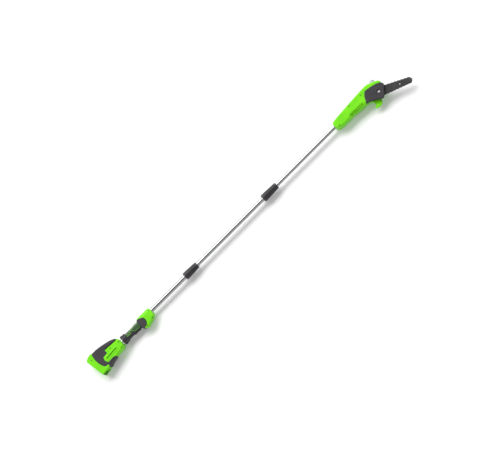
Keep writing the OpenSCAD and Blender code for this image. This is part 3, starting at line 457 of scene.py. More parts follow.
# ---------------------------------------------------------------- grip and neck
# The grip is a rounded charcoal handle in two halves, waisted for the hand. Its neck
# spreads into an arch that the guard closes on, and both levers come through slots.
GRIP_X, NECK_X = 230.0, 344.0
GUARD_HALF, NECK_HALF = 26.0, 24.6
NECK = [
    (330, 13), (339, 17), (352, 14, 9), (370, 4, 14), (378, -10, 14), (376, -28, 14),
    (368, -42, 10), (348, -50, 8), (334, -47), (330, -38),
]
NECK_RIM = (4, 5)
TUBE_R, TUBE_ENTRY = 14.0, 341
TRIGGER_ROOM = ((268, -60, -1), (331, -18, 7.2))
LOCK_ROOM = ((287, -2, -1), (341, 20, 6.2))
GRIP_SECTION = [(-20.5, -19.5), (20.5, -19.5), (20.5, 19.5), (-20.5, 19.5)]
GRIP_CORNER_R, GRIP_R, WAIST, GRIP_STEPS = 15, 20, 0.03, 12
ALONG = Matrix(((0, 0, 1, 0), (1, 0, 0, 0), (0, 1, 0, 0), (0, 0, 0, 1)))
TO_GRIP = Matrix.Translation((0, GRIP_Y, 0)) @ ALONG


def girth(x, more):
    """the grip's thickness at x as a share of its thickest, more standing that far proud"""
    return 1.0 - WAIST * sin(pi * (x - GRIP_X) / (NECK_X - GRIP_X)) ** 2 + more / GRIP_R


def handgrip(more=0.0, ends=(GRIP_X, NECK_X)):
    """the grip's form along the pole, slimmer in its middle"""
    bm = outline(GRIP_SECTION, GRIP_CORNER_R)
    bmesh.ops.translate(bm, verts=bm.verts[:], vec=(0, 0, ends[0]))
    face = bm.faces[:]
    s = girth(ends[0], more)
    bmesh.ops.scale(bm, vec=(s, s, 1), verts=bm.verts[:])
    for k in range(GRIP_STEPS):
        a = ends[0] + (ends[1] - ends[0]) * k / GRIP_STEPS
        b = ends[0] + (ends[1] - ends[0]) * (k + 1) / GRIP_STEPS
        out = bmesh.ops.extrude_face_region(bm, geom=face)["geom"]
        if k:
            bmesh.ops.delete(bm, geom=face, context="FACES")
        face = [g for g in out if isinstance(g, bmesh.types.BMFace)]
        ring = list({v for f in face for v in f.verts})
        bmesh.ops.translate(bm, verts=ring, vec=(0, 0, b - a))
        s = girth(b, more) / girth(a, more)
        bmesh.ops.scale(bm, vec=(s, s, 1), verts=ring)
    bmesh.ops.transform(bm, matrix=TO_GRIP, verts=bm.verts[:])
    bmesh.ops.recalc_face_normals(bm, faces=bm.faces[:])
    return bm


for left in (False, True):
    grip = cut(handgrip(), block((200, -60, PART_GAP), (400, 40, 40)), "INTERSECT")
    grip = cut(grip, slab(NECK, PART_GAP, NECK_HALF, NECK_RIM), "UNION")
    grip = cut(grip, rod((0, 0), 220, 352, 16.5, 48, place=SPIGOT_PLACE))
    grip = cut(grip, slab(NECK, -1, NECK_HALF - WALL, (1.5, 2.5), NECK_RIM[0], WALL))
    grip = cut(grip, rod((0, 0), TUBE_ENTRY, 440, TUBE_R + 0.05, 48, place=LIE))
    grip = cut(grip, block(*TRIGGER_ROOM))
    grip = cut(grip, block(*LOCK_ROOM))
    moulding("grip", grip, left, "handle", "charcoal_plastic")

# ---------------------------------------------------------------- grip overmould
# Soft dark green panels are moulded over the grip, and thin lime lines stand around them:
# an oval round each panel, and a stepped line with a straight one beside it.
PANEL = [(289, -18.5, 4), (327, -21, 8), (341, -13, 6), (336, 0.5, 7), (279, -0.5, 2)]
OVAL = [(286, -21.5, 4), (329, -24.5, 10), (345, -14, 8), (339, 4, 9), (272, 2.4, 2)]
OVAL_LINE, SKIN_DEEP = 1.5, 0.35
LINES = [
    [(233, -4.4), (263.6, -3.2, 2), (271.6, 0.2, 1), (280, -0.2), (276, 2.6), (271, 2.4, 1),
     (262.8, -1.2, 2), (233, -2.6)],
    [(233, -13.6), (266, -14.4), (266, -12.6), (233, -11.8)],
]
moulded(
    "soft_grip", (0.01, 0.035, 0.008), (0.016, 0.055, 0.012), (0.62, 0.78), 1500.0, 0.00012,
    Sheen_Weight=0.25)


def on_grip(form, out):
    """what lies in a thin skin of the grip under a form"""
    skin = cut(handgrip(out, (232, 343.5)), handgrip(-SKIN_DEEP, (231, 345)))
    return cut(form, skin, "INTERSECT")


for left in (False, True):
    side = "left" if left else "right"
    pad = on_grip(slab(PANEL, 6, 30), 0.7)
    piece(
        f"grip_panel_{side}", flipped(pad) if left else pad, "handle", "soft_grip",
        ["grip_inlays"] if not left else ())
    lines = [cut(slab(OVAL, 4, 30), slab(OVAL, 2, 32, inset=OVAL_LINE))]
    lines += [slab(line, 4, 30) for line in LINES]
    lines = together([on_grip(line, 0.5) for line in lines])
    piece(f"grip_lines_{side}", flipped(lines) if left else lines, "handle", "lime_plastic")

# ---------------------------------------------------------------- trigger and lock-off
# The charcoal trigger turns on a pin below the grip. The pale lock-off on top is a lever of
# frosted plastic that has to be pressed first.


def both_sides(corners, half, rim, soft=0.0):
    """a form that is the same on both sides of the tool's middle"""
    bm = slab(corners, 0, half, rim, soft)
    flat = [f for f in bm.faces if all(abs(v.co.z) < 0.001 for v in f.verts)]
    bmesh.ops.delete(bm, geom=flat, context="FACES")
    bmesh.ops.mirror(bm, geom=bm.verts[:] + bm.edges[:] + bm.faces[:], axis="Z", merge_dist=0.001)
    bmesh.ops.recalc_face_normals(bm, faces=bm.faces[:])
    return bm


TRIGGER_PIVOT, TRIGGER_PIN_R, TRIGGER_HALF = (322, -23, 0), 2.05, 6.5
LOCK_PIVOT, LOCK_PIN_R, LOCK_HALF = (334, 4, 0), 1.55, 5.5
LOCK_GROOVES, LOCK_GROOVE_PITCH = 5, 4.2
TRIGGER = [
    (-52, 0), (-52, -9, 3), (-46, -13, 6), (-24, -11.2, 20), (-6, -12.5, 6), (3, -7, 4),
    (5, 0), (2, 4.5), (-4, 4.5), (-24, 2),
]
trigger = cut(
    both_sides(TRIGGER, TRIGGER_HALF, (1.6, 1.6)), rod((0, 0), -10, 10, TRIGGER_PIN_R, 24))
bmesh.ops.translate(trigger, verts=trigger.verts[:], vec=TRIGGER_PIVOT)
piece("trigger_lever", trigger, "trigger", "charcoal_plastic", ["trigger"])

tree, shader, where = new_finish(
    "clear_grey", Transmission_Weight=0.35, Subsurface_Weight=0.25, Subsurface_Scale=0.004,
    IOR=1.5)
tint(tree, shader, speckle(tree, where, 40.0, 4.0), (0.6, 0.62, 0.63), (0.72, 0.73, 0.74))
gloss(tree, shader, speckle(tree, where, 120.0), 0.34, 0.5)
relief(tree, shader, speckle(tree, where, 1800.0), 0.00003)

LOCK = [
    (-44, 4), (-44, 9, 3), (-38, 13, 6), (-14, 12, 8), (0, 7, 5), (4, 2, 2), (2, -3.5),
    (-3, -3.5), (-8, 0, 2), (-34, 1, 2),
]
lock = cut(both_sides(LOCK, LOCK_HALF, (1.4, 1.4)), rod((0, 0), -10, 10, LOCK_PIN_R, 20))
for k in range(LOCK_GROOVES):
    step = LOCK_GROOVE_PITCH * k
    lock = cut(lock, block((-39 + step, 11.2, -3.6), (-37.6 + step, 14, 3.6)))
bmesh.ops.translate(lock, verts=lock.verts[:], vec=LOCK_PIVOT)
piece("lock_off_lever", lock, "lock_off", "clear_grey", ["lock_off"])

# ---------------------------------------------------------------- lever springs
# Each lever is pushed back by a small spring wound from bright wire, which stands between
# the lever and the inside of the grip.
WIRE_R, TURNS, STEPS, CLOSED = 0.42, 5, 20, 0.6
tree, shader, where = new_finish("bright_steel", Metallic=0.95)
tint(tree, shader, speckle(tree, where, 50.0, 4.0), (0.5, 0.47, 0.49), (0.62, 0.58, 0.6))
gloss(tree, shader, speckle(tree, where, 200.0, 3.0), 0.24, 0.4)
relief(tree, shader, speckle(tree, where, 1200.0, 2.0, (0.1, 1, 1)), 0.00002)

for name, joint in (("trigger", "trigger_pull"), ("lock_off", "lock_off_press")):
    low, high = (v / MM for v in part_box(f"{name}_spring"))
    middle = (low + high) / 2
    radius = (high.x - low.x) / 2 - WIRE_R
    rise = (high.y - low.y - 2 * WIRE_R) / (TURNS * STEPS)
    coil = bmesh.new()
    bmesh.ops.create_circle(coil, cap_ends=True, segments=8, radius=WIRE_R)
    at = Vector((middle.x + radius, low.y + WIRE_R, middle.z))
    bmesh.ops.translate(coil, verts=coil.verts[:], vec=at)
    bmesh.ops.spin(
        coil, geom=coil.faces[:], cent=(middle.x, at.y, middle.z), axis=(0, 1, 0),
        dvec=(0, rise, 0), angle=2 * pi * TURNS, steps=TURNS * STEPS)
    bmesh.ops.recalc_face_normals(coil, faces=coil.faces[:])
    coil = piece(f"{name}_coil", coil, "handle", "bright_steel", [f"{name}_spring"], lift=0)
    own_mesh(coil)

# ---------------------------------------------------------------- hand guard
# The lime guard is two hollow mouldings that clamp the pole's lower tube in front of the
# hand. Its top side slopes off in a broad facet, and three screws close it.
GUARD = [
    (336.5, 24.5), (428, 24.5), (434.5, 3), (434.5, -8), (427, -31), (415, -40), (359, -58),
    (345, -52), (337, -44),
]
GUARD_FORM = [(-90, -10), (-90, 26), (6, 26), (24.5, 9), (24.5, -10)]
GUARD_SOFT, FORM_SOFT = 7, 4

for left in (False, True):
    guard = slab(GUARD, PART_GAP, GUARD_HALF, (5, 5), GUARD_SOFT)
    form = slab(GUARD_FORM, 300, 460, soft=FORM_SOFT, place=ALONG)
    guard = cut(guard, form, "INTERSECT")
    room = slab(GUARD, -1, GUARD_HALF - WALL, (2.5, 2.5), GUARD_SOFT, WALL)
    form = slab(GUARD_FORM, 290, 470, soft=FORM_SOFT, inset=WALL, place=ALONG)
    room = cut(room, form, "INTERSECT")
    guard = cut(guard, room)
    guard = cut(guard, slab(NECK, BELOW, ABOVE, soft=NECK_RIM[0], inset=-SEAM))
    guard = cut(guard, rod((0, 0), 330, 450, TUBE_R + 0.06, 48, place=LIE))
    for at, _, _ in GUARD_SCREWS:
        guard = cut(guard, rod(at, 20, 40, SCREW_SINK_R))
        guard = cut(guard, rod(at, 10, 30, SCREW_HOLE_R))
    moulding("guard", guard, left, "handle", "lime_plastic")

# ---------------------------------------------------------------- pole tubes
# Three drawn tubes, each sliding in the wider one, satin anodised. The draw marks run
# lengthways, and the lower tube has a rolled key groove.
tree, shader, where = new_finish("tube_steel", Metallic=1.0)
drawn = speckle(tree, where, 260.0, 3.0, (0.012, 1, 1))
tint(tree, shader, drawn, (0.3, 0.3, 0.305), (0.38, 0.38, 0.385))
gloss(tree, shader, speckle(tree, where, 60.0, 4.0, (0.05, 1, 1)), 0.24, 0.34)
relief(tree, shader, drawn, 0.00002)

# ---------------------------------------------------------------- twist collars
# Each coupling is a fixed ferrule and a tapering sleeve that screws over it and closes a
# collet on the tube. Both are charcoal nylon, and the sleeve is grooved for the hand.
COLLAR_R, NOSE_R = 23.0, 19.25
SLEEVE_SIDES, SLEEVE_STEPS, GROOVE_EVERY = 96, 12, 4


def turned(profile):
    """a profile of (along the pole, radius) spun into a closed ring"""
    bm = bmesh.new()
    made = [bm.verts.new((x, r, 0)) for x, r in profile]
    edges = [bm.edges.new((a, b)) for a, b in zip(made, made[1:] + made[:1])]
    bmesh.ops.spin(
        bm, geom=made + edges, cent=(0, 0, 0), axis=(1, 0, 0), angle=2 * pi, steps=SLEEVE_SIDES,
        use_merge=True)
    bmesh.ops.remove_doubles(bm, verts=bm.verts[:], dist=0.001)
    bmesh.ops.recalc_face_normals(bm, faces=bm.faces[:])
    return bm


for name, x, end, fixed, running, body, twist in (
    ("low", 704.0, 802.0, 14.0, 13.0, "handle", "low_collar"),
    ("high", 1330.0, 1440.0, 13.0, 12.0, "middle_pole", "high_collar"),
):
    ferrule = turned([
        (x, fixed + 0.05), (x, COLLAR_R - 2), (x + 0.6, COLLAR_R - 0.8), (x + 2, COLLAR_R - 0.1),
        (x + 15.4, COLLAR_R), (x + 17, COLLAR_R - 0.4), (x + 17.9, COLLAR_R - 1.4),
        (x + 18, fixed + 4.4), (x + 43, fixed + 4.4), (x + 44, fixed + 3.6), (x + 44, fixed - 0.8),
        (x + 36, fixed - 0.8), (x + 36, fixed + 0.05)])
    piece(f"{name}_coupling_ferrule", ferrule, body, "charcoal_plastic", [f"{name}_ferrule"])
    long = end - x
    outer = [(x + 18.3, COLLAR_R - 1.6), (x + 18.9, COLLAR_R - 0.5), (x + 20.5, COLLAR_R - 0.1)]
    outer += [
        (x + 20.5 + (long - 24.5) * k / SLEEVE_STEPS,
         COLLAR_R - 0.1 + (NOSE_R - COLLAR_R) * k / SLEEVE_STEPS)
        for k in range(1, SLEEVE_STEPS + 1)]
    outer += [(end - 2, NOSE_R - 0.6), (end - 0.6, NOSE_R - 1.6), (end, NOSE_R - 3.2)]
    inner = [
        (end, running + 0.4), (end - 7, running + 0.4), (end - 7.3, running + 2.4),
        (x + 44.3, fixed + 5.1), (x + 18.3, fixed + 5.1)]
    sleeve = turned(outer + inner)
    grooves = []
    for face in sleeve.faces:
        centre = face.calc_center_median()
        if x + 27 < centre.x < end - 12 and centre.yz.length > NOSE_R - 0.6:
            turn = centre.yz.angle_signed(Vector((1, 0))) / (2 * pi / SLEEVE_SIDES)
            if round(turn - 0.5) % GROOVE_EVERY == 0:
                grooves.append(face)
    bmesh.ops.inset_region(
        sleeve, faces=grooves, thickness=0.18, depth=-0.7, use_even_offset=True, use_boundary=True)
    piece(f"{name}_coupling_sleeve", sleeve, twist, "charcoal_plastic", [f"{name}_sleeve"])

# ---------------------------------------------------------------- saw head
# The long lime housing is two halves on the upper tube. A slot with a bead above it and
# a row of louvres let the motor breathe, and four screws close it.
HEAD_X = 1906
HEAD_PLACE = Matrix.Translation((HEAD_X, 0, 0))
HEAD_HALF = 33.0
HEAD_RIM = (8, 9)
HEAD = [
    (0, 15), (13, 22.5), (54, 27), (155, 34), (224, 38), (280, 40), (298, 38), (356, 11.5),
    (364, 0), (362, -20), (322, -62), (300, -70), (266, -52), (241, -42), (218, -37),
    (198, -39), (157, -35), (124, -31), (44, -33), (16, -27), (0, -15),
]
COVER = [
    (216, -41), (228, -21), (238, -2.8), (260.6, 18), (302, 11), (334, 2), (354, -7),
    (365, -20), (366, -32), (327, -77), (312, -85), (298, -84), (265, -60), (241, -47),
]
STUD = Vector((315, -43))
BAR_TURN = radians(24.5)
BAR_PLACE = Matrix.Translation((STUD.x, STUD.y, 0)) @ Matrix.Rotation(-BAR_TURN, 4, "Z")
SPROCKET_AT = -57.0
WHEEL = STUD + SPROCKET_AT * Vector((cos(BAR_TURN), -sin(BAR_TURN)))
CAP_PLACE = (
    Matrix.Translation((326, 23.5, 0)) @ Matrix.Rotation(-BAR_TURN, 4, "Z")
    @ Matrix.Rotation(-pi / 2, 4, "X"))
HEAD_SCREWS = [(24, -19), (139, 20), (228, 18), (196, -30)]
VENT = [(104, -19.4), (210, -21.2), (210, -25.4), (104, -25.4)]
BEAD = [(98, -16), (212, -18), (212, -19.6), (98, -17.8)]
BLOCK_SLOT = [(-20.5, 11.8), (-7.5, 11.8), (-7.5, 18.2), (-20.5, 18.2)]
BAR_PAD = [(-34, -10), (24, -10), (24, 10), (-34, 10)]
DECK_LOW, DECK, LEFT_HALF = 9.5, 15, 37.0
HEAD_LOUVRES, HEAD_LOUVRE_PITCH = 6, 13.5
DASHES = ((112, 30), (160, 14), (186, 8))

for left in (False, True):
    half = LEFT_HALF if left else HEAD_HALF
    head = shell(HEAD, half, HEAD_RIM, keep=slab(VENT, half - 8.5, ABOVE, inset=-3))
    if not left:
        head = cut(head, slab(COVER, DECK, ABOVE, soft=5, inset=-0.35))
        inside = slab(HEAD, BELOW, ABOVE, soft=8, inset=1.2)
        deck = cut(slab(COVER, DECK_LOW, DECK, soft=5), inside, "INTERSECT")
        head = cut(head, deck, "UNION")
        head = cut(head, slab(BAR_PAD, 10, 18, soft=3, place=BAR_PLACE), "UNION")
        head = cut(head, rod(STUD, -2, 30, 4.05, 24))
        head = cut(head, rod(WHEEL, -2, 30, 7.2, 32))
        head = cut(head, slab(BLOCK_SLOT, -2, 30, place=BAR_PLACE))
        tunnel = Matrix.Translation((0, 15, 6)) @ LIE
        head = cut(head, rod((0, 0), -34, 60, 4.3, 24, place=BAR_PLACE @ tunnel))
    head = cut(head, slab(VENT, half - 6, ABOVE, soft=1.5))
    for k in range(HEAD_LOUVRES):
        x, y = 108 + HEAD_LOUVRE_PITCH * k, -29.5 - 0.35 * k
        louvre = [(x, y - 4.5), (x + 6.5, y - 4.5), (x + 11.5, y + 1.8), (x + 5, y + 1.8)]
        head = cut(head, slab(louvre, half - 14, ABOVE, soft=0.6))
    for x, long in DASHES:
        y = -11.6 - 0.018 * (x - DASHES[0][0])
        dash = [(x, y), (x + long, y - 0.5), (x + long, y - 3.3), (x, y - 2.8)]
        head = cut(head, slab(dash, half - 2, ABOVE, soft=1))
    head = cut(head, slab(BEAD, half - 2.4, half, (0.7, 0.8)), "UNION")
    for at in HEAD_SCREWS:
        hole = rod(at, 0, 16, SCREW_HOLE_R) if left else rod(at, half - 7, ABOVE, SCREW_SINK_R)
        head = cut(head, hole)
    head = cut(head, rod((0, 0), -5, 62, 12.02, 48, place=LIE))
    head = cut(head, rod((0, 0), -14, 60, 12.9, 40, place=CAP_PLACE))
    bmesh.ops.transform(head, matrix=HEAD_PLACE, verts=head.verts[:])
    moulding("head", head, left, "head", "lime_plastic")

head_set = together([screw((HEAD_X + x, y), 28.5, 44) for x, y in HEAD_SCREWS])
piece("head_screw_set", head_set, "head", "dark_steel", ["head_screws"])

# ---------------------------------------------------------------- branch hook
# A lime hook under the head pulls cut branches down. It is one thick rib, moulded with the
# left half, with its edges rounded.
HOOK = [
    (302, -66), (295, -86), (283, -99.5), (268, -101.5), (241, -95), (237, -86.5),
    (252, -84.5), (257, -72), (252, -58), (250, -46), (268, -50),
]
hook = both_sides(HOOK, 9, (2.4, 2.4))
hook = cut(hook, slab(HEAD, -20, 20, soft=HEAD_RIM[0], inset=-0.03))
bmesh.ops.transform(hook, matrix=HEAD_PLACE, verts=hook.verts[:])
piece("pull_hook", hook, "head", "lime_plastic", ["branch_hook"])

# ---------------------------------------------------------------- guide bar
# The bar is a laminated steel plate, blackened, with a groove round it for the chain, a slot
# for the stud, two tensioner holes, a sprocket nose held by rivets and a hanging hole.
BAR_Z, BAR_T = 20.0, 4.0
BAR_BELLY, BELLY_R, NOSE_AT, NOSE_END_R = 10.0, 24.0, 181.0, 14.0
SPROCKET_R = 15.5
TO_BAR = HEAD_PLACE @ BAR_PLACE


def plate_round(rounds, extra, low, high, more=0.0):
    """a plate between two heights over the shape round circles and points"""
    bm = bmesh.new()
    for z in (low, high):
        for x, r in rounds:
            made = bmesh.ops.create_circle(bm, segments=72, radius=r + more)["verts"]
            bmesh.ops.translate(bm, verts=made, vec=(x, 0, z))
        for p in extra:
            bm.verts.new((p[0] - more, p[1] + (more if p[1] > 0 else -more), z))
    out = bmesh.ops.convex_hull(bm, input=bm.verts[:])
    spare = [g for g in out["geom_interior"] if isinstance(g, bmesh.types.BMVert)]
    bmesh.ops.delete(bm, geom=spare, context="VERTS")
    loose = [e for e in bm.edges if not e.link_faces]
    bmesh.ops.delete(bm, geom=loose, context="EDGES")
    bmesh.ops.dissolve_limit(bm, angle_limit=radians(1), verts=bm.verts[:], edges=bm.edges[:])
    bmesh.ops.recalc_face_normals(bm, faces=bm.faces[:])
    return bm


BAR_ROUNDS = [(BAR_BELLY, BELLY_R), (NOSE_AT, NOSE_END_R)]
BAR_TAIL = [(-25, 16), (-25, -16)]
GROOVE_HALF, GROOVE_DEEP = 0.75, 4.5
HANG_X, HANG_R, TENSION_HOLE_R = 125, 3, 2.45
RIVETS = ((168, 4.5), (168, -4.5), (176, 0), (60, 9), (60, -9), (104, 7), (104, -7))
RIVET_R = 1.7
bar = plate_round(BAR_ROUNDS, BAR_TAIL, BAR_Z - BAR_T / 2, BAR_Z + BAR_T / 2)
bmesh.ops.bevel(
    bar, geom=[e for e in bar.edges if abs(e.verts[0].co.z - e.verts[1].co.z) < 0.01],
    offset=0.4, offset_type="OFFSET", segments=2, profile=0.5, affect="EDGES", material=-1)
groove = cut(
    plate_round(BAR_ROUNDS, BAR_TAIL, BAR_Z - GROOVE_HALF, BAR_Z + GROOVE_HALF, 3),
    plate_round(BAR_ROUNDS, BAR_TAIL, BAR_Z - 2, BAR_Z + 2, -GROOVE_DEEP))
bar = cut(bar, groove)
bar = cut(bar, block((-15, -4.3, 0), (8, 4.3, 40)))
for y in (-15, 15):
    bar = cut(bar, rod((-14, y), 0, 40, TENSION_HOLE_R, 24))
bar = cut(bar, rod((HANG_X, 0), 0, 40, HANG_R))
for at in RIVETS:
    bar = cut(bar, rod(at, BAR_Z - 2.15, BAR_Z + 2.15, RIVET_R, 16), "UNION")
bmesh.ops.transform(bar, matrix=TO_BAR, verts=bar.verts[:])
piece("bar_plate", bar, "saw_bar", "dark_steel", ["guide_bar"])

# ---------------------------------------------------------------- saw chain
# Drive links run in the groove, joined by straps and hooked cutters that lean to either
# side in turn, all riveted. The set is blued steel.
rounds = [(SPROCKET_AT, SPROCKET_R), *BAR_ROUNDS]
rises = [asin((b[1] - a[1]) / (b[0] - a[0])) for a, b in zip(rounds, rounds[1:])]
runs = [(b[0] - a[0]) * cos(t) for (a, b), t in zip(zip(rounds, rounds[1:]), rises)]
arcs = [
    SPROCKET_R * (pi / 2 - rises[0]), BELLY_R * (rises[0] - rises[1]),
    NOSE_END_R * (pi / 2 + rises[1])]
HALF_LOOP = sum(runs) + sum(arcs)
PITCH = 9.525
LINKS = floor(HALF_LOOP / PITCH)
STEP = 2 * HALF_LOOP / LINKS


def along_chain(s):
    """place and heading on the chain's path, s counted from its sprocket end"""
    s %= 2 * HALF_LOOP
    under = s > HALF_LOOP
    if under:
        s = 2 * HALF_LOOP - s
    spans = [arcs[0], runs[0], arcs[1], runs[1], arcs[2]]
    k = 0
    while k < 4 and s > spans[k]:
        s -= spans[k]
        k += 1
    x, r = rounds[(k + 1) // 2]
    if k % 2 == 0:
        start = (pi, pi / 2 + rises[0], pi / 2 + rises[1])[k // 2]
        turn = start - s / r
        at, heading = Vector((x + r * cos(turn), r * sin(turn))), turn - pi / 2
    else:
        x, r = rounds[k // 2]
        heading = rises[k // 2]
        turn = pi / 2 + heading
        at = Vector((x + r * cos(turn) + s * cos(heading), r * sin(turn) + s * sin(heading)))
    if under:
        at, heading = Vector((at.x, -at.y)), pi - heading
    return Matrix.Translation((at.x, at.y, 0)) @ Matrix.Rotation(heading, 4, "Z")


DRIVER = [
    (-7, 0.2), (-7, 4), (7, 4), (7, 0.2), (3.4, 0.1), (1.8, -3), (-0.8, -3), (-3.2, 0.1)]
STRAP = [(-7.2, 0.05), (-6.4, 4.7), (6.4, 4.7), (7.2, 0.05)]
CUTTER = [
    (-7.2, 0.05), (-7, 5.3), (-1.4, 6.4), (0.4, 3.4), (3.4, 3.4), (4.4, 5.5), (6.2, 4.9),
    (7.2, 0.05)]
CUTTER_TOP = [(-7, 4.9), (-6.8, 5.7), (-1.4, 6.6), (-1.7, 5.8)]
RIVET_OFF, PIN_R = STEP / 4, 1.5


def link(corners, at, low, high):
    """one stamped link lying on the chain's path between two heights from the bar's middle"""
    return slab(corners, BAR_Z + low, BAR_Z + high, place=along_chain(at))


chain = []
for k in range(LINKS):
    middle = (k + 0.5) * STEP
    side = 1 if k % 2 else -1
    chain.append(link(DRIVER, k * STEP, -0.55, 0.55))
    chain.append(link(CUTTER, middle, *sorted((side * 0.6, side * 1.7))))
    chain.append(link(STRAP, middle, *sorted((-side * 0.6, -side * 1.7))))
    chain.append(link(CUTTER_TOP, middle, *sorted((-side * 0.9, side * 3.2))))
    for s in (-RIVET_OFF, RIVET_OFF):
        pin = rod((0, 2.6), BAR_Z - 2.1, BAR_Z + 2.1, PIN_R, 10, place=along_chain(middle + s))
        chain.append(pin)
chain = together(chain)
bmesh.ops.transform(chain, matrix=TO_BAR, verts=chain.verts[:])
piece("chain_links", chain, "saw_bar", "dark_steel", ["saw_chain"])

# ---------------------------------------------------------------- sprocket cover
# A charcoal cap closes over the sprocket and the bar's root. The nut clamps it down in a
# deep round cup, and the bar and chain leave through its open front edge.
COVER_TOP, COVER_BASE = 37.0, 15.3
CUP_R, CUP_BORE_R, CUP_LOW, CUP_FLOOR = 15, 13, 22.4, 27.5
VENTS, VENT_PITCH, VENT_WIDE, VENT_HALF = 4, 6.4, 2.6, 9
lid = shell(COVER, COVER_TOP, (4.5, 5), base=COVER_BASE)
lid = cut(lid, rod(STUD, CUP_LOW, 35.5, CUP_R, 48), "UNION")
lid = cut(lid, rod(STUD, CUP_FLOOR, ABOVE, CUP_BORE_R, 48))
lid = cut(lid, rod(STUD, 0, ABOVE, 4.4, 24))
lid = cut(lid, block((8, -35, 0), (80, 35, 25.3), place=BAR_PLACE))
lid = cut(lid, block((-40, -48, 0), (10, -24, 19), place=BAR_PLACE))
groove = [(0, -VENT_HALF), (VENT_WIDE, -VENT_HALF), (VENT_WIDE, VENT_HALF), (0, VENT_HALF)]
for k in range(VENTS):
    at = Matrix.Translation((-58 + VENT_PITCH * k, 1, 0))
    lid = cut(lid, slab(groove, 35.8, ABOVE, soft=1.2, place=BAR_PLACE @ at))
bmesh.ops.transform(lid, matrix=HEAD_PLACE, verts=lid.verts[:])
piece("cover_moulding", lid, "cover", "charcoal_plastic", ["sprocket_cover"])

# ---------------------------------------------------------------- bar nut
# One zinc-plated flanged nut holds cover and bar. Its corners are chamfered and the
# flange is turned.
NUT_FLATS, NUT_LOW, NUT_TOP, NUT_BORE_R = 13, 28, 35.5, 4.08
FLANGE_R, FLANGE_TOP_R = 9, 8.2
HEX_R = NUT_FLATS / sqrt(3)
nut = rod((0, 0), NUT_LOW, NUT_TOP, HEX_R, 6)
nut = cut(nut, rod((0, 0), 26, 38, HEX_R + 3.2, 48, HEX_R - 2), "INTERSECT")
nut = cut(nut, rod((0, 0), 27.8, 29.5, FLANGE_R, 48, FLANGE_TOP_R), "UNION")
nut = cut(nut, rod((0, 0), 20, 40, NUT_BORE_R))
bmesh.ops.translate(nut, verts=nut.verts[:], vec=(HEAD_X + STUD.x, STUD.y, 0))
piece("flanged_nut", nut, "nut", "bright_steel", ["bar_nut"])

# ---------------------------------------------------------------- oil cap
# The chain-oil cap is a screw cap of frosted plastic on the top side of the head. It is
# scalloped round its rim, and a bar across its sunk top gives the fingers a hold.
CAP_R, CAP_H, CAP_BORE_R, SCALLOPS, SCALLOP_R = 17.0, 20.0, 12.9, 16, 1.7
cap = rod((0, 0), 2, CAP_H, CAP_R, 96)
rims = [e for e in cap.edges if abs(e.verts[0].co.z - e.verts[1].co.z) < 0.01]
bmesh.ops.bevel(
    cap, geom=rims, offset=1.8, offset_type="OFFSET", segments=4, profile=0.5, affect="EDGES",
    material=-1)
for k in range(SCALLOPS):
    a = 2 * pi * k / SCALLOPS
    at = ((CAP_R + 0.7) * cos(a), (CAP_R + 0.7) * sin(a))
    cap = cut(cap, rod(at, 4, CAP_H + 1, SCALLOP_R, 16))
cap = cut(cap, rod((0, 0), 0, 11, CAP_BORE_R, 48))
cap = cut(cap, rod((0, 0), CAP_H - 1.2, CAP_H + 1, 10, 48, 11))
grip_bar = block((-9.5, -2.2, CAP_H - 1.4), (9.5, 2.2, CAP_H - 0.2), 0.4)
cap = cut(cap, grip_bar, "UNION")
bmesh.ops.transform(cap, matrix=HEAD_PLACE @ CAP_PLACE, verts=cap.verts[:])
piece("ribbed_cap", cap, "oil_cap", "clear_grey", ["oil_cap"])

# ---------------------------------------------------------------- working parts inside
# Motor, gears, bearings, leads, cells and board stay as they are machined or wound, each in
# its own finish, and the pole's tubes take theirs here with them.
tree, shader, where = new_finish("copper", Metallic=0.9)
wound = speckle(tree, where, 700.0, 2.0, (1, 1, 0.08))
tint(tree, shader, wound, (0.42, 0.16, 0.05), (0.72, 0.36, 0.14))
gloss(tree, shader, speckle(tree, where, 90.0), 0.28, 0.45)
relief(tree, shader, wound, 0.00015)

tree, shader, where = new_finish("board")
tint(
    tree, shader, speckle(tree, where, 300.0, 5.0), (0.008, 0.09, 0.03), (0.02, 0.2, 0.06),
    0.45, 0.55)
gloss(tree, shader, speckle(tree, where, 200.0), 0.25, 0.5)
relief(tree, shader, speckle(tree, where, 500.0, 4.0), 0.0001)

tree, shader, where = new_finish("cell_wrap", Coat_Weight=0.4)
tint(tree, shader, speckle(tree, where, 40.0, 4.0), (0.012, 0.1, 0.26), (0.02, 0.16, 0.38))
gloss(tree, shader, speckle(tree, where, 70.0), 0.2, 0.4)
relief(tree, shader, speckle(tree, where, 250.0, 4.0), 0.00008)

moulded("lead", (0.008, 0.008, 0.008), (0.018, 0.018, 0.018), (0.5, 0.7), 1200.0, 0.0001)

for row in frame["record"]["subparts"]:
    node = frame["nodes"][row["node"]]
    node.data.materials.clear()
    node.data.materials.append(finishes[row["material_slot"]])

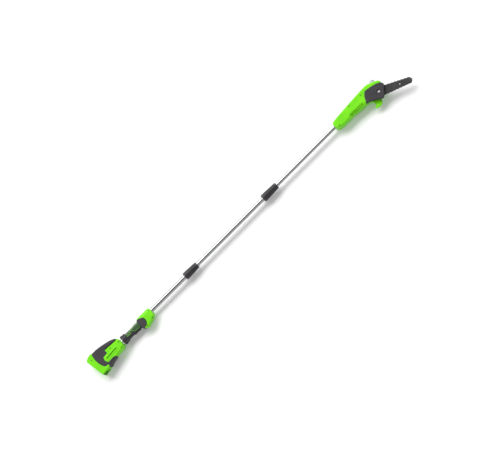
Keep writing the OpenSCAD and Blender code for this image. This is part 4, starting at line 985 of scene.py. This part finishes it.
# ---------------------------------------------------------------- floor, light and camera
# A plain pale floor, one broad soft light beyond the tool's top side under an even sky, and
# a long lens that looks almost straight down at the tool lying on its left side.
floor_mesh = bpy.data.meshes.new("floor")
bm = bmesh.new()
bmesh.ops.create_grid(bm, x_segments=1, y_segments=1, size=14.0)
bm.to_mesh(floor_mesh)
bm.free()
ground = bpy.data.objects.new("floor", floor_mesh)
bpy.context.scene.collection.objects.link(ground)
pale = bpy.data.materials.new("pale_floor")
pale.use_nodes = True
pale.node_tree.nodes["Principled BSDF"].inputs["Base Color"].default_value = (0.92, 0.92, 0.92, 1)
pale.node_tree.nodes["Principled BSDF"].inputs["Roughness"].default_value = 0.9
floor_mesh.materials.append(pale)

scene = bpy.context.scene
world = bpy.data.worlds.new("studio")
scene.world = world
world.use_nodes = True
sky = world.node_tree
heading = sky.nodes.new("ShaderNodeTexCoord")
parts = sky.nodes.new("ShaderNodeSeparateXYZ")
shade = sky.nodes.new("ShaderNodeValToRGB")
for stop, at, grey in zip(shade.color_ramp.elements, (0.5, 0.97), (0.9, 0.16)):
    stop.position, stop.color = at, (grey, grey, grey, 1)
sky.links.new(heading.outputs["Generated"], parts.inputs["Vector"])
sky.links.new(parts.outputs["Z"], shade.inputs["Fac"])
sky.links.new(shade.outputs["Color"], sky.nodes["Background"].inputs["Color"])
sky.nodes["Background"].inputs["Strength"].default_value = 1.1


def soft_light(name, at, aim, size, power):
    """a broad lamp at one place, facing another"""
    data = bpy.data.lights.new(name, "AREA")
    data.shape, data.size, data.size_y, data.energy = "RECTANGLE", size[0], size[1], power
    made = bpy.data.objects.new(name, data)
    made.location = at
    made.rotation_euler = (Vector(aim) - Vector(at)).to_track_quat("-Z", "Y").to_euler()
    scene.collection.objects.link(made)


soft_light("key", (1.1, 6.8, 7.4), (1.2, 0, 0), (10.0, 6.0), 1300)
scene.view_settings.view_transform = "Standard"

TILT = radians(14)
VIEW_WIDTH, AWAY, SENSOR = 2.835, 8.0, 36.0
MIDDLE = Vector((1.1726, -0.054, 0.037))
right = Vector((1, -cos(TILT), -sin(TILT))) / sqrt(2)
up = Vector((1, cos(TILT), sin(TILT))) / sqrt(2)
back = Vector((0, -sin(TILT), cos(TILT)))
lens = bpy.data.cameras.new("camera")
lens.sensor_width, lens.lens, lens.clip_end = SENSOR, SENSOR * AWAY / VIEW_WIDTH, 60
camera = bpy.data.objects.new("camera", lens)
turned_to = Matrix((right, up, back)).transposed().to_4x4()
camera.matrix_world = Matrix.Translation(MIDDLE + back * AWAY) @ turned_to
scene.collection.objects.link(camera)
scene.camera = camera
